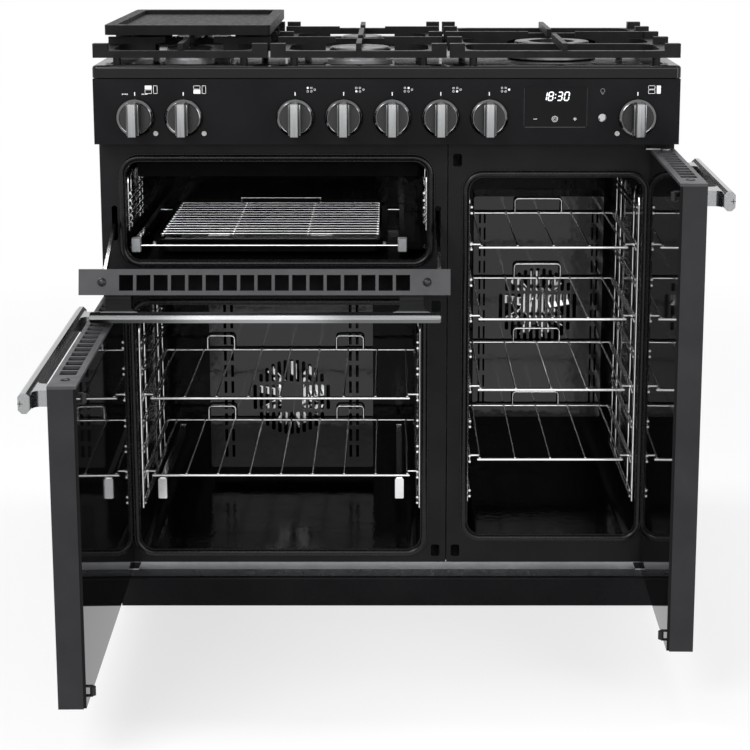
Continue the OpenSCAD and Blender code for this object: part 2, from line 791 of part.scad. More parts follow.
// Telescopic runner under the lower shelf: two channels with moulded end caps
module left_runner() {
    reach = left_w / 2 - 34;
    under_rail = left_levels[1] - rail_drop - rail_d / 2 - 0.1;
    top = under_rail - 1.2;
    for (s = [-1, 1]) translate([left_cx + s * reach, 0, 0]) {
        color("#b9bbbe") difference() {
            translate([-runner_t / 2, shelf_y + 6, top - runner_h])
                cube([runner_t, shelf_d - 20, runner_h]);
            translate([-runner_t / 2 - (s > 0 ? -1.5 : cut), shelf_y - cut, top - runner_h + 2])
                cube([runner_t - 1.5 + cut, shelf_d, runner_h - 4]);
        }
        color("#8f9194") translate([0, 0, top - cap_h / 2])
            upright(shelf_y - 6, shelf_y + 6) rounded(cap_w, cap_h, 2);
        color("#b9bbbe") translate([-runner_t / 2, shelf_y - 3, top - cut])
            cube([runner_t, 10, under_rail - top + cut]);
    }
}

// ---------- Grill tray set ----------

cradle_y = frame_y + 16;
pan_y = cradle_y + 12;
cradle_reach = 211.5;
cradle_cap_h = 22;
cradle_wire = 5;
wire_z = cradle_z - 9;
pan_floor = 3.5;
pan_rim_t = 2;
pan_flare = 9;
runner_w = 8;
runner_depth = 14;
ledge_t = 2;

// Wire frame on two runners that draw out of the compartment. The rim of the pan lies on
// its two long wires.
module grill_cradle() {
    cap_d = 12;
    front_wire = cradle_y + 4;
    rear_wire = pan_y + pan_d + cradle_wire / 2 + 2;
    for (s = [-1, 1]) {
        color("#8f9194") translate([cradle_x + s * cradle_reach, 0, cradle_z + 4 - cradle_cap_h / 2])
            upright(front_wire - 8, front_wire - 8 + cap_d) rounded(cap_w, cradle_cap_h, 2);
        color("#b9bbbe") translate([cradle_x + s * cradle_reach - runner_w / 2, front_wire + 4,
            cradle_z - runner_depth]) cube([runner_w, rear_wire - front_wire - 2, runner_depth]);
    }
    color("#c8cacc") {
        for (y = [front_wire, rear_wire])
            rod_x(cradle_x - cradle_reach, cradle_x + cradle_reach, y, wire_z, cradle_wire);
        for (s = [-1, 1]) rod_y(cradle_x + s * (pan_w / 2 - cradle_wire), front_wire, rear_wire,
            cradle_z - pan_rim_t - cradle_wire / 2, cradle_wire);
    }
}

module grill_pan() color("#17181a") translate([cradle_x, pan_y + pan_d / 2, cradle_z]) difference() {
    body_w0 = pan_w - 2 * pan_flare;
    body_d0 = pan_d - 2 * pan_flare;
    wall = sheet_t;
    union() {
        translate([0, 0, 2 - pan_h]) linear_extrude(pan_h - 2) rounded(body_w0, body_d0, 22);
        translate([0, 0, -pan_rim_t]) linear_extrude(pan_rim_t) rounded(pan_w, pan_d, 28);
    }
    translate([0, 0, pan_floor - pan_h]) linear_extrude(pan_h)
        rounded(body_w0 - 2 * wall, body_d0 - 2 * wall, 22 - wall);
}

module grill_trivet() color("#d2d4d6") {
    rows = 14;
    side = pan_w / 2 - 14;
    depth = pan_d - 30;
    z = cradle_z + 6;
    y0 = pan_y + 15;
    for (i = [0:rows - 1])
        rod_x(cradle_x - side, cradle_x + side, y0 + i * depth / (rows - 1), z, 2.6);
    for (x = [-side + 2, -60, 60, side - 2]) rod_y(cradle_x + x, y0 - 3, y0 + depth + 3, z - 2, 3.4);
    for (x = [-side + 2, side - 2], y = [y0 + 30, y0 + depth - 30])
        rod_z(cradle_x + x, y, cradle_z - pan_h + pan_floor, z - 1, 3);
    loop_w = 139;
    loop_y = y0 + depth + 1;
    for (s = [-1, 1]) rod_z(cradle_x + s * loop_w / 2, loop_y, z - 3, z + 9, 3.2);
    rod_x(cradle_x - loop_w / 2 - 1, cradle_x + loop_w / 2 + 1, loop_y, z + 9, 3);
    for (s = [-1, 1]) translate([cradle_x + s * 82 - 17, y0 - 7, z - 3]) cube([34, 6, 1.6]);
}

// ---------- Hob ----------

hob_x = half_w + hob_over;
hob_y1 = back_y;
hob_d = hob_y1 - front_y;

module hob_plan(inset, r) {
    translate([0, (front_y + hob_y1) / 2])
        rounded(2 * (hob_x - inset), hob_d - 2 * inset, r);
}

// Enamel tray: a hollow rim with a rolled outer edge round a sunken floor
module hob_tray() color("#121315") difference() {
    outer_r = rim_r + 3;
    inner_r = 14;
    union() {
        translate([0, 0, hob_z]) linear_extrude(rim_h - rim_r) hob_plan(0, outer_r);
        translate([0, 0, hob_z]) linear_extrude(rim_h) hob_plan(rim_r, outer_r - rim_r);
        translate([0, (front_y + hob_y1) / 2, hob_z + rim_h - rim_r])
            sweep_round(2 * hob_x, hob_d, outer_r) translate([-rim_r, 0]) intersection() {
                circle(rim_r);
                square(rim_r);
            }
    }
    difference() {
        translate([0, 0, tray_z]) linear_extrude(rim_h) hob_plan(rim_w, inner_r);
        for (b = burners) translate([b[0], b[1], tray_z - cut]) cylinder(h = cut + 2, r = b[2] + 9);
    }
    translate([0, 0, hob_z - cut]) linear_extrude(tray_z - sheet_t - hob_z + cut)
        hob_plan(sheet_t, outer_r - sheet_t);
    translate([0, 0, hob_z - cut]) linear_extrude(rim_h - rim_r + cut) difference() {
        hob_plan(sheet_t, outer_r - sheet_t);
        hob_plan(rim_w - sheet_t, inner_r + sheet_t);
    }
    for (b = burners) translate([b[0], b[1], tray_z - 4]) cylinder(h = 10, r = b[2] - 8);
}

module burner_bases() color("#b5b7b9") for (b = burners) {
    seat = tray_z + 2;
    wok = b[2] == burner_wok_r;
    translate([b[0], b[1], 0]) {
        difference() {
            union() {
                translate([0, 0, tray_z - 14]) cylinder(h = 20, r = b[2] - 12);
                translate([0, 0, seat]) cylinder(h = 7, r = b[2] + 3);
                translate([0, 0, seat + 6]) cylinder(h = burner_h - 19, r = b[2] - 5);
            }
            translate([0, 0, tray_z - 12]) cylinder(h = 30, r = wok ? b[2] - 28 : 8);
            if (wok) translate([0, 0, seat + 3]) difference() {
                cylinder(h = burner_h, r = b[2] - 13);
                cylinder(h = burner_h, r = b[2] - 22);
            }
        }
        if (wok) translate([0, 0, tray_z - 12]) cylinder(h = burner_h - 4, r = 18);
        translate([b[2] - 1, 12, seat + 6]) cylinder(h = burner_h - 20, r = 2.4);
    }
}

module burner_caps() color("#6e7073") for (b = burners) {
    under = tray_z + 2 + burner_h - 13 + 0.1;
    cap_top = tray_z + burner_h;
    wok = b[2] == burner_wok_r;
    translate([b[0], b[1], under]) {
        if (wok) {
            difference() {
                cylinder(h = cap_top - under, r1 = b[2], r2 = b[2] - 3);
                translate([0, 0, -cut]) cylinder(h = 20, r = b[2] - 26);
            }
            translate([0, 0, burner_h - 4 - 12 - (under - tray_z) + 0.1])
                cylinder(h = cap_top - under - 2, r = 21);
        } else {
            cylinder(h = cap_top - under - 2, r = b[2]);
            translate([0, 0, cap_top - under - 2.2]) cylinder(h = 2.2, r1 = b[2], r2 = b[2] - 3);
        }
    }
}

lug_d = 15;
arm_thin = 8;
arm_flare = 34;
support_rail = 27;

// Upright blade from the edge of a support towards a burner. Its underside curves up.
module blade(len) {
    deep = grate_top - bar_z;
    tip = 9;
    rotate([90, 0, 0]) translate([0, 0, -arm_thin / 2]) linear_extrude(arm_thin) difference() {
        square([len, deep]);
        translate([len + 6, -len * 0.9 + deep - tip]) circle(len * 0.9);
    }
}

// Plan of the flat arm under a blade, with a hollow curve on each side of its root
module arm_plan(len) {
    flare = arm_flare + arm_thin / 2;
    translate([0, -arm_thin / 2]) square([len, arm_thin]);
    difference() {
        translate([-cut, -flare]) square([arm_flare + cut, 2 * flare]);
        for (s = [-1, 1]) translate([arm_flare, s * flare]) circle(arm_flare + 0.4);
    }
}

// Cast-iron support: a flat plate with round-cornered openings that carries lugs along its
// sides, fingers from front to back and arms with blades from side to side
module pan_support(x0, w, arm_rows, bar_rows, lug_rows, fingers) {
    cx = x0 + w / 2;
    blade_l = w / 2 - 39;
    foot_r = 6;
    opening_w = w - 2 * support_rail;
    translate([0, grate_y0, bar_z]) {
        linear_extrude(cast_h) {
            difference() {
                translate([x0, -lug_d / 2]) square([w, grate_d + lug_d]);
                for (i = [0:len(bar_rows) - 2]) {
                    y0 = grate_rows[bar_rows[i]] + cast_w / 2;
                    y1 = grate_rows[bar_rows[i + 1]] - cast_w / 2;
                    translate([cx, (y0 + y1) / 2]) rounded(opening_w, y1 - y0, 26);
                }
                // The outer edge is hollowed between the lugs
                for (i = [0:3], s = [-1, 1]) {
                    gap_l = grate_rows[i + 1] - grate_rows[i] - lug_w - 6;
                    translate([cx + s * w / 2, (grate_rows[i] + grate_rows[i + 1]) / 2])
                        rounded(2 * edge_hollow, gap_l, edge_hollow - 1);
                }
            }
            for (i = arm_rows) translate([cx, grate_rows[i]]) for (s = [0, 1]) mirror([s, 0])
                translate([support_rail - w / 2, 0]) arm_plan(blade_l * 0.55);
        }
        for (i = lug_rows, x = [x0, x0 + w - lug_w])
            translate([x, grate_rows[i] - lug_d / 2, cast_h - 1])
                cube([lug_w, lug_d, grate_top - bar_z - cast_h + 1]);
        for (f = fingers) translate([cx - arm_thin / 2, f[0], cast_h - 1.5])
            cube([arm_thin, f[1] - f[0], grate_top - bar_z - cast_h + 1.5]);
        for (i = arm_rows) translate([cx, grate_rows[i], 0]) for (s = [0, 1]) mirror([s, 0, 0])
            translate([4 - w / 2, 0, 0]) blade(blade_l - 4);
        // The front feet stand on the rim of the tray and the rear feet on its floor
        for (x = [x0 + rim_w + 12, x0 + w - rim_w - 12], foot = [[0, hob_top], [grate_d, tray_z]])
            translate([x, foot[0], foot[1] - bar_z]) cylinder(h = bar_z - foot[1] + 2, r = foot_r);
    }
}

edge_hollow = 7;
double_fingers = [
    [0, grate_rows[1] - 33], [grate_rows[1] + 33, grate_rows[3] - 33],
    [grate_rows[3] + 30, grate_d]
];
wok_fingers = [[0, grate_rows[2] - 45], [grate_rows[2] + 50, grate_d]];

module pan_support_left() color("#232426")
    pan_support(grate_left_x, grate_left_w, [1, 3], [0, 2, 4], [0, 2, 4], double_fingers);

module pan_support_centre() color("#232426")
    pan_support(grate_mid_x, grate_mid_w, [1, 3], [0, 2, 4], [0, 2, 4], double_fingers);

module pan_support_right() color("#232426")
    pan_support(grate_right_x, grate_right_w, [2], [0, 1, 3, 4], [0:4], wok_fingers);

griddle_w = grate_left_w - 4;
griddle_back = 21;
griddle_y0 = grate_y0 + grate_d + griddle_back - griddle_d;

module griddle() color("#1e1f21") {
    bottom = grate_top + griddle_pad;
    translate([grate_left_x + grate_left_w / 2, griddle_y0 + griddle_d / 2, 0]) {
        difference() {
            translate([0, 0, bottom]) linear_extrude(griddle_t) rounded(griddle_w, griddle_d, 10);
            translate([0, 0, bottom + griddle_t - 7]) linear_extrude(griddle_t)
                rounded(griddle_w - 2 * griddle_rim, griddle_d - 2 * griddle_rim, 14);
        }
        for (x = [-1, 1], row = [2, 4])
            translate([x * (griddle_w / 2 - 10), grate_y0 + grate_rows[row] - griddle_y0
                - griddle_d / 2, grate_top]) cylinder(h = griddle_pad + cut, r = 6);
    }
}

// ---------- Controls ----------

module control_panel() color("#1f2023") difference() {
    depth = panel_back - front_y;
    union() {
        difference() {
            translate([-half_w, front_y, frame_top]) cube([body_w, depth, panel_h]);
            translate([-half_w + sheet_t, front_y + sheet_t, frame_top + sheet_t]) cube([
                body_w - 2 * sheet_t, depth, panel_h - 2 * sheet_t
            ]);
        }
        translate([clock_x, 0, axis_z + 16]) upright(front_y, front_y + clock_recess + 2)
            rounded(clock_w + 6, clock_h + 6, 5);
    }
    translate([clock_x, 0, axis_z + 16]) upright(front_y - cut, front_y + clock_recess + 3)
        rounded(clock_w, clock_h, 3);
    for (x = knob_x) translate([x, 0, axis_z]) upright(front_y - cut, front_y + 3)
        circle(shaft_d / 2 + 1.5);
    for (x = lens_x) translate([x, 0, lens_z]) upright(front_y - cut, front_y + 3)
        circle(lens_d / 2 + 0.1);
    translate([button_x, 0, axis_z]) upright(front_y - cut, front_y + 3)
        circle(button_d / 2 + 0.3);
}

module clock_module() color("#0c0d0f") translate([clock_x, 0, axis_z + 16]) {
    upright(front_y + clock_recess, front_y + clock_recess + 2)
        rounded(clock_w - 0.2, clock_h - 0.2, 3);
    upright(front_y + clock_recess + 2, front_y + clock_depth) rounded(clock_w - 8, clock_h - 8, 3);
}

module indicator_lenses() color("#d8d3cc") for (x = lens_x) translate([x, 0, lens_z]) {
    upright(front_y - 1.5, front_y + sheet_t) circle(lens_d / 2);
    upright(front_y + sheet_t, front_y + lens_depth) circle(lens_d / 2 + 1.5);
}

// Knob: chrome ring, dark face, straight grip and a shaft
module knob(i) translate([knob_x[i], front_y - knob_gap, axis_z]) {
    face_r = knob_r - 6.5;
    color("#c9cbce") difference() {
        rotate([90, 0, 0]) {
            cylinder(h = knob_ring_h - 3, r = knob_r);
            translate([0, 0, knob_ring_h - 3.1]) cylinder(h = 3.1, r1 = knob_r, r2 = knob_r - 3.2);
        }
        rotate([90, 0, 0]) translate([0, 0, knob_ring_h - 2]) cylinder(h = 6, r = face_r);
    }
    color("#c9cbce") translate([-grip_w / 2, -knob_d + knob_gap, -face_r - 2.5])
        cube([grip_w, knob_d - knob_gap - knob_ring_h + 3, 2 * face_r + 5]);
    color("#8c8f92") rotate([-90, 0, 0]) translate([0, 0, -cut]) difference() {
        cylinder(h = knob_gap + 34 + cut, r = shaft_d / 2);
        translate([shaft_d / 2 - 1, -shaft_d, 18]) cube([shaft_d, 2 * shaft_d, 30]);
    }
}

module knob_grill() knob(0);
module knob_left_oven() knob(1);
module knob_gas_1() knob(2);
module knob_gas_2() knob(3);
module knob_gas_3() knob(4);
module knob_gas_4() knob(5);
module knob_gas_5() knob(6);
module knob_tall_oven() knob(7);

module light_button() color("#d9dadc") translate([button_x, front_y, axis_z]) {
    rotate([90, 0, 0]) {
        translate([0, 0, -14]) cylinder(h = 14 + 3, r = button_d / 2);
        translate([0, 0, 2.9]) cylinder(h = 1.4, r1 = button_d / 2, r2 = button_d / 2 - 1.6);
    }
    rotate([-90, 0, 0]) translate([0, 0, 4]) cylinder(h = 3, r = button_d / 2 + 1.5);
}

rail_y = valve_y + 58;

// Gas taps on their rail, rotary switches, the light switch and the pipe to the inlet
module taps_and_switches() color("#8a7a52") {
    bore = shaft_d / 2 + run_clear;
    difference() {
        union() {
            for (x = knob_x) translate([x, 0, axis_z])
                upright(valve_y, valve_y + 44) rounded(30, 40, 5);
            rod_x(gas_x[0] - 20, half_w - inlet_inset, rail_y, axis_z, 18);
            for (x = gas_x) rod_y(x, valve_y + 40, rail_y, axis_z, 14);
            rod_y(half_w - inlet_inset, rail_y, back_y - 3, axis_z, 2 * inlet_r - 5);
            rod_y(half_w - inlet_inset, back_y - 4, back_y + 16, axis_z, 2 * inlet_r);
        }
        for (x = knob_x) translate([x, 0, axis_z]) upright(valve_y - cut, valve_y + 36)
            circle(bore);
    }
    translate([button_x, 0, axis_z]) upright(front_y + 14 + button_travel + 1, front_y + 44)
        rounded(16, 22, 3);
    // Bars that carry the taps and switches from the panel's folded floor
    for (x = concat(knob_x, [button_x])) translate([x - 5, front_y + 20, frame_top + sheet_t])
        cube([10, 3, axis_z - frame_top - sheet_t - 9]);
}

// ---------- Fans ----------

module fan(cx, z) color("#d5d7d9") translate([cx, 0, z]) {
    disc_y = cover_y + sheet_t + 24;
    blade_l = fan_r - 16;
    upright(disc_y, disc_y + 1.5) circle(20);
    upright(disc_y - 8, disc_y + 4) circle(9);
    for (i = [0:fan_blades - 1]) rotate([0, i * 360 / fan_blades, 0]) {
        translate([-9, disc_y, 14]) cube([18, 1.5, blade_l]);
        translate([7.5, disc_y - 18, 24]) cube([1.5, 19, blade_l - 10]);
    }
    upright(disc_y, oven_back + 30) circle(shaft_d / 2);
}

module fan_left() fan(left_cx, fan_left_z);
module fan_tall() fan(tall_cx, fan_tall_z);

module fan_motors() color("#63666a")
    for (p = [[left_cx, fan_left_z], [tall_cx, fan_tall_z]]) translate([p[0], 0, p[1]])
        difference() {
            union() {
                upright(oven_back + 12, oven_back + 52) rounded(64, 64, 8);
                for (a = [45:90:315]) rotate([0, a, 0]) translate([36, 0, 0])
                    upright(oven_back + sheet_t, oven_back + 16) circle(4);
                upright(oven_back + 12, oven_back + 14) rounded(76, 76, 6);
            }
            upright(oven_back, oven_back + 40) circle(shaft_d / 2 + run_clear);
        }

// ---------- Doors ----------

// A closed side door seen from its hinge pin: X runs from the pin to the free edge,
// Y from the front to the inside. Each piece of it is placed by the modules below.
module at_left_door() translate([left_pin[0], left_pin[1], base_h])
    rotate([0, 0, -left_open]) translate([-pin_inset, -pin_setback, 0]) children();

module at_tall_door() translate([tall_pin[0], tall_pin[1], base_h])
    rotate([0, 0, tall_open]) mirror([1, 0, 0]) translate([-pin_inset, -pin_setback, 0]) children();

module at_grill_door() translate([left_door_x[0], grill_pin[0], grill_pin[1]])
    rotate([grill_open, 0, 0]) translate([0, -grill_pin_setback, -grill_pin_h]) children();

left_door_w = left_door_x[1] - left_door_x[0];
tall_door_w = tall_door_x[1] - tall_door_x[0];
window_margin = 70;
window_r = 12;

// Pan of a door: front sheet and folded walls, open to the inside, with a window opening
module door_pan(w, h) difference() {
    wall = sheet_t;
    deep = door_t - glass_t;
    cube([w, deep, h - trim_t]);
    translate([wall, wall, wall]) cube([w - 2 * wall, deep, h - trim_t - wall + cut]);
    translate([w / 2, 0, (h - window_drop(h)) / 2]) upright(-cut, wall + cut)
        rounded(w - 2 * window_margin, h - window_drop(h) - 2 * window_side(h), window_r);
}

function window_drop(h) = bar_drop + bar_h + 14;
function window_side(h) = h > 300 ? 56 : 30;

// Panes of a door: the inner pane covers the pan, the outer one fills the window
module door_panes(w, h, side) {
    translate([side, door_t - glass_t, 1]) cube([w - 2 * side, glass_t, h - trim_t - 1]);
    translate([w / 2, 0, (h - window_drop(h)) / 2]) upright(sheet_t, sheet_t + 3)
        rounded(w - 2 * window_margin + 16, h - window_drop(h) - 2 * window_side(h) + 16, window_r);
}

// Slotted trim along the top edge of a door, with its two screws
module door_trim(w, h) difference() {
    screw_x = 34;
    slots = floor((w - 2 * screw_x - 24) / vent_pitch);
    union() {
        translate([0, 0, h - trim_t]) cube([w, door_t, trim_t]);
        for (x = [screw_x, w - screw_x]) translate([x, door_t / 2, h - trim_t + 0.5])
            cylinder(h = trim_t, r = 5);
    }
    for (i = [0:slots - 1])
        translate([w / 2 + (i - (slots - 1) / 2) * vent_pitch, door_t / 2 - 1, h - trim_t - cut])
            linear_extrude(trim_t + 2 * cut) square([vent_w, vent_l], center = true);
    for (x = [screw_x, w - screw_x]) translate([x, door_t / 2, h - 0.6])
        cylinder(h = 2, r = 2.4, $fn = 6);
}

// Bushes for the hinge pins, and the rollers that hold the door shut
module side_door_fittings(h) {
    for (z = [sheet_t - 0.2, h - trim_t - bush_h]) translate([pin_inset, pin_setback, z])
        cylinder(h = bush_h, r = bush_r);
}

module pin_bores(h) {
    for (z = [-cut, h - trim_t - bush_h - cut]) translate([pin_inset, pin_setback, z])
        cylinder(h = bush_h + trim_t + 2 * cut, r = pin_d / 2 + run_clear);
}

module catches(w, h, inset) for (z = [catch_z, h - catch_z])
    translate([w - inset, door_t, z]) {
        translate([-3, 0, -catch_h / 2 - 1.5]) cube([6, catch_stand - catch_r, 1.5]);
        translate([-3, 0, catch_h / 2]) cube([6, catch_stand - catch_r, 1.5]);
        translate([0, catch_stand - catch_r, -catch_h / 2]) cylinder(h = catch_h, r = catch_r);
    }

module side_door(w, h, inset) {
    difference() {
        union() {
            door_pan(w, h);
            side_door_fittings(h);
        }
        pin_bores(h);
    }
    catches(w, h, inset);
}

module door_left() color("#1c1d20") at_left_door() side_door(left_door_w, left_door_h, catch_inset);
module door_tall() color("#1c1d20") at_tall_door()
    side_door(tall_door_w, tall_door_h, catch_inset - 2);

module side_trim(w, h) difference() {
    door_trim(w, h);
    pin_bores(h);
}

module trim_left() color("#303236") at_left_door() side_trim(left_door_w, left_door_h);
module trim_tall() color("#303236") at_tall_door() side_trim(tall_door_w, tall_door_h);
module trim_grill() color("#303236") at_grill_door() door_trim(left_door_w, grill_door_h);

module glass_left() color("#08090a") at_left_door() door_panes(left_door_w, left_door_h, 1);
module glass_tall() color("#08090a") at_tall_door() door_panes(tall_door_w, tall_door_h, 1);
module glass_grill() color("#08090a") at_grill_door()
    door_panes(left_door_w, grill_door_h, arm_edge + 12);

bar_edge = 5;
bracket_flare = 10;
cap_t = 2;

// Octagonal section of a handle bar, made smaller all round by inset
module bar_section(inset) {
    d = bar_d / 2 - inset;
    h = bar_h / 2 - inset;
    polygon([
        [-d, bar_edge - h], [bar_edge - d, -h], [d - bar_edge, -h], [d, bar_edge - h],
        [d, h - bar_edge], [d - bar_edge, h], [bar_edge - d, h], [-d, h - bar_edge]
    ]);
}

// Plan of a handle bracket: a block that flares out in hollow curves towards the bar
module bracket_plan() {
    translate([0, -finger_gap - 0.5]) square([bracket_w, finger_gap + 0.5]);
    difference() {
        translate([-bracket_flare, -finger_gap - 0.5])
            square([bracket_w + 2 * bracket_flare, bracket_flare + 0.5]);
        for (x = [-bracket_flare, bracket_w + bracket_flare])
            translate([x, bracket_flare - finger_gap]) circle(bracket_flare);
    }
}

// Brushed octagonal bar on two brackets, with end caps
module handle(w, h) {
    z0 = h - bar_drop - bar_h;
    bar_y = -finger_gap - bar_d;
    color("#c4c6c9") translate([bar_margin, bar_y, z0]) rotate([90, 0, 90])
        linear_extrude(w - 2 * bar_margin) translate([bar_d / 2, bar_h / 2]) bar_section(0);
    color("#c4c6c9") for (x = [bar_margin + bracket_inset, w - bar_margin - bracket_inset - bracket_w])
        translate([x, 0, z0 + (bar_h - bracket_h) / 2]) linear_extrude(bracket_h) bracket_plan();
    color("#a9abae") for (x = [bar_margin - cap_t + 0.5, w - bar_margin - 0.5])
        translate([x, bar_y, z0]) rotate([90, 0, 90]) linear_extrude(cap_t)
            translate([bar_d / 2, bar_h / 2]) bar_section(0.8);
}

module handle_left() at_left_door() handle(left_door_w, left_door_h);
module handle_tall() at_tall_door() handle(tall_door_w, tall_door_h);
module handle_grill() at_grill_door() handle(left_door_w, grill_door_h);

lug_x = [16.5, left_door_w - 19.5];
boss_x = [6, left_door_w - 14];
lug_t = 3;

// The grill door has bosses on its hinge line, slots for the lugs and arms that enter it
// and cheeks that hold the pins of the arms
module door_grill() color("#1c1d20") at_grill_door() {
    w = left_door_w;
    h = grill_door_h;
    flange_w = arm_edge + 12;
    inner_y = door_t - glass_t;
    arm_x = [arm_edge, w - arm_edge + 6];
    difference() {
        union() {
            door_pan(w, h);
            for (x = [0, w - flange_w]) translate([x, inner_y, 0])
                cube([flange_w, glass_t, h - trim_t]);
            for (x = boss_x) translate([x, grill_pin_setback, grill_pin_h])
                rotate([0, 90, 0]) cylinder(h = 8, r = grill_pin_h - sheet_t / 2);
        }
        rod_x(-cut, w + cut, grill_pin_setback, grill_pin_h, pin_d + 2 * run_clear);
        for (x = arm_x) translate([x - arm_t / 2 - 1, 4, grill_pin_h + arm_pivot_h - 62])
            cube([arm_t + 2, door_t, 76]);
        for (x = lug_x) translate([x - 1, 4, -cut]) cube([lug_t + 2, door_t, 30]);
    }
    for (x = arm_x) {
        rod_x(x - arm_t / 2 - 3, x + arm_t / 2 + 3, grill_pin_setback,
            grill_pin_h + arm_pivot_h, 5);
        for (k = [-arm_t / 2 - 3, arm_t / 2 + 1])
            translate([x + k, sheet_t - 0.2, grill_pin_h + arm_pivot_h - 8])
                cube([2, inner_y - sheet_t + 0.4, 16]);
    }
}

arm_rest = atan2(arm_slot_h - arm_pivot_h * cos(grill_open),
    frame_y - grill_pin[0] + arm_pivot_h * sin(grill_open));
arm_reach = norm([arm_slot_h - arm_pivot_h * cos(grill_open),
    frame_y - grill_pin[0] + arm_pivot_h * sin(grill_open)]);

// Links between the door and the frame, drawn along the line through their slots
module grill_hinge_arms() color("#b4b6b9") for (x = [arm_left_x, arm_right_x])
    translate([x - arm_t / 2, grill_pin[0] - arm_pivot_h * sin(grill_open),
        grill_pin[1] + arm_pivot_h * cos(grill_open)]) rotate([arm_rest, 0, 0]) difference() {
        rotate([90, 0, 90]) linear_extrude(arm_t) {
            circle(arm_w / 2 + 1.5);
            translate([0, -arm_w / 2]) square([arm_reach + arm_tail, arm_w]);
        }
        rod_x(-cut, arm_t + cut, 0, 0, 5 + 2 * run_clear);
    }

// Brackets on the frame: each carries a door's hinge pin on a flange
module hinge_bracket(pin, z, up) {
    toward = pin[0] < 0 ? 1 : -1;
    flange_l = 30;
    translate([pin[0], 0, z]) mirror([toward < 0 ? 1 : 0, 0, 0]) mirror([0, 0, up ? 0 : 1]) {
        translate([0, 0, -bracket_gap - bracket_t]) linear_extrude(bracket_t) {
            translate([0, pin[1]]) circle(8);
            translate([-4, pin[1]]) square([flange_l + 4, frame_y - pin[1]]);
        }
        translate([3, frame_y - bracket_plate_t, -bracket_gap - bracket_t])
            cube([13, bracket_plate_t, 34]);
        translate([0, pin[1], -bracket_gap - bracket_t]) cylinder(h = 14, r = pin_d / 2);
        for (z = [12, 24]) translate([10.5, 0, z])
            upright(frame_y - bracket_plate_t - 1.2, frame_y - bracket_plate_t + 0.2) circle(3.2);
    }
}

// The grill door turns on stub pins held by lugs on the frame
module grill_pin_lug(x, s) translate([left_door_x[0] + x, 0, grill_pin[1]]) {
    eye_r = 7;
    translate([-2, frame_y - 2, -12]) cube([lug_t + 4, 2, 24]);
    rotate([90, 0, 90]) linear_extrude(lug_t) {
        translate([grill_pin[0], 0]) circle(eye_r);
        translate([grill_pin[0], -5]) square([frame_y - grill_pin[0], 10]);
    }
    rod_x(s > 0 ? -11.5 : 0.5, s > 0 ? lug_t - 0.5 : lug_t + 11.5, grill_pin[0], 0, pin_d);
}

module hinge_brackets() color("#77797c") {
    hinge_bracket(left_pin, base_h, true);
    hinge_bracket(left_pin, left_door_top, false);
    hinge_bracket(tall_pin, base_h, true);
    hinge_bracket(tall_pin, door_top, false);
    grill_pin_lug(lug_x[0], 1);
    grill_pin_lug(lug_x[1], -1);
}

side_panels();
back_panel();
chassis_base();
plinth();
front_frame_left();
front_frame_right();
hob_tray();
control_panel();
clock_module();
indicator_lenses();
grill_cavity();
oven_cavity_left();
oven_cavity_tall();
door_seals();
grill_element();
fan_covers();
shelf_racks();
burner_bases();
burner_caps();
hinge_brackets();
fan_motors();
taps_and_switches();
pan_support_left();
pan_support_centre();
pan_support_right();
griddle();
knob_grill();
knob_left_oven();
knob_gas_1();
knob_gas_2();
knob_gas_3();
knob_gas_4();
knob_gas_5();
knob_tall_oven();
light_button();
tall_shelf_1();
tall_shelf_2();
tall_shelf_3();
tall_shelf_4();
left_shelf_1();
left_shelf_2();
left_runner();
grill_cradle();
grill_pan();
grill_trivet();
fan_left();
fan_tall();
door_left();
glass_left();
trim_left();
handle_left();
door_tall();
glass_tall();
trim_tall();
handle_tall();
door_grill();
glass_grill();
trim_grill();
handle_grill();
grill_hinge_arms();
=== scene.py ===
"""Looks of the range cooker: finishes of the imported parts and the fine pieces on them."""
import math

import bmesh
import bpy
from mathutils import Matrix, Vector


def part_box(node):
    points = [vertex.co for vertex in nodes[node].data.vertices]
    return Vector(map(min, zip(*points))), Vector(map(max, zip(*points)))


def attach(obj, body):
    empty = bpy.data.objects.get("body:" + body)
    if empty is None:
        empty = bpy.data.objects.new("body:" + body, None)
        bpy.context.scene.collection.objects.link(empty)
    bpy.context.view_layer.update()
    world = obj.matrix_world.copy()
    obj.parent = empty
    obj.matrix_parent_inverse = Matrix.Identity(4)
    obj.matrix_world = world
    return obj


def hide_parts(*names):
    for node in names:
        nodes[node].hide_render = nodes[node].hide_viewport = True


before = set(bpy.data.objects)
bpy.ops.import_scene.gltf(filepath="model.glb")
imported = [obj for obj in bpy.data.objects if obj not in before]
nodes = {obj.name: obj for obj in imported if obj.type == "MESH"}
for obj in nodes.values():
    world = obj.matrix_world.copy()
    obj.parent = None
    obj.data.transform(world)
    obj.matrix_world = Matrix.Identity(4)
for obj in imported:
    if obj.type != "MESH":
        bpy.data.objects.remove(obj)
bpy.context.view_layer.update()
MM = 0.001

# ---------------------------------------------------------------- materials


def new_material(name):
    """An empty node material with its output and Principled shader."""
    mat = bpy.data.materials.new(name)
    mat.use_nodes = True
    tree = mat.node_tree
    shader = tree.nodes["Principled BSDF"]
    return mat, tree, shader


def noise(tree, scale, detail=3.0, rough=0.55, stretch=(1, 1, 1)):
    """Object-space noise; scale is in cycles per metre and stretch thins it along an axis."""
    coord = tree.nodes.new("ShaderNodeTexCoord")
    mapping = tree.nodes.new("ShaderNodeMapping")
    mapping.inputs["Scale"].default_value = stretch
    tex = tree.nodes.new("ShaderNodeTexNoise")
    tex.inputs["Scale"].default_value = scale
    tex.inputs["Detail"].default_value = detail
    tex.inputs["Roughness"].default_value = rough
    tree.links.new(coord.outputs["Object"], mapping.inputs["Vector"])
    tree.links.new(mapping.outputs["Vector"], tex.inputs["Vector"])
    return tex.outputs["Fac"]


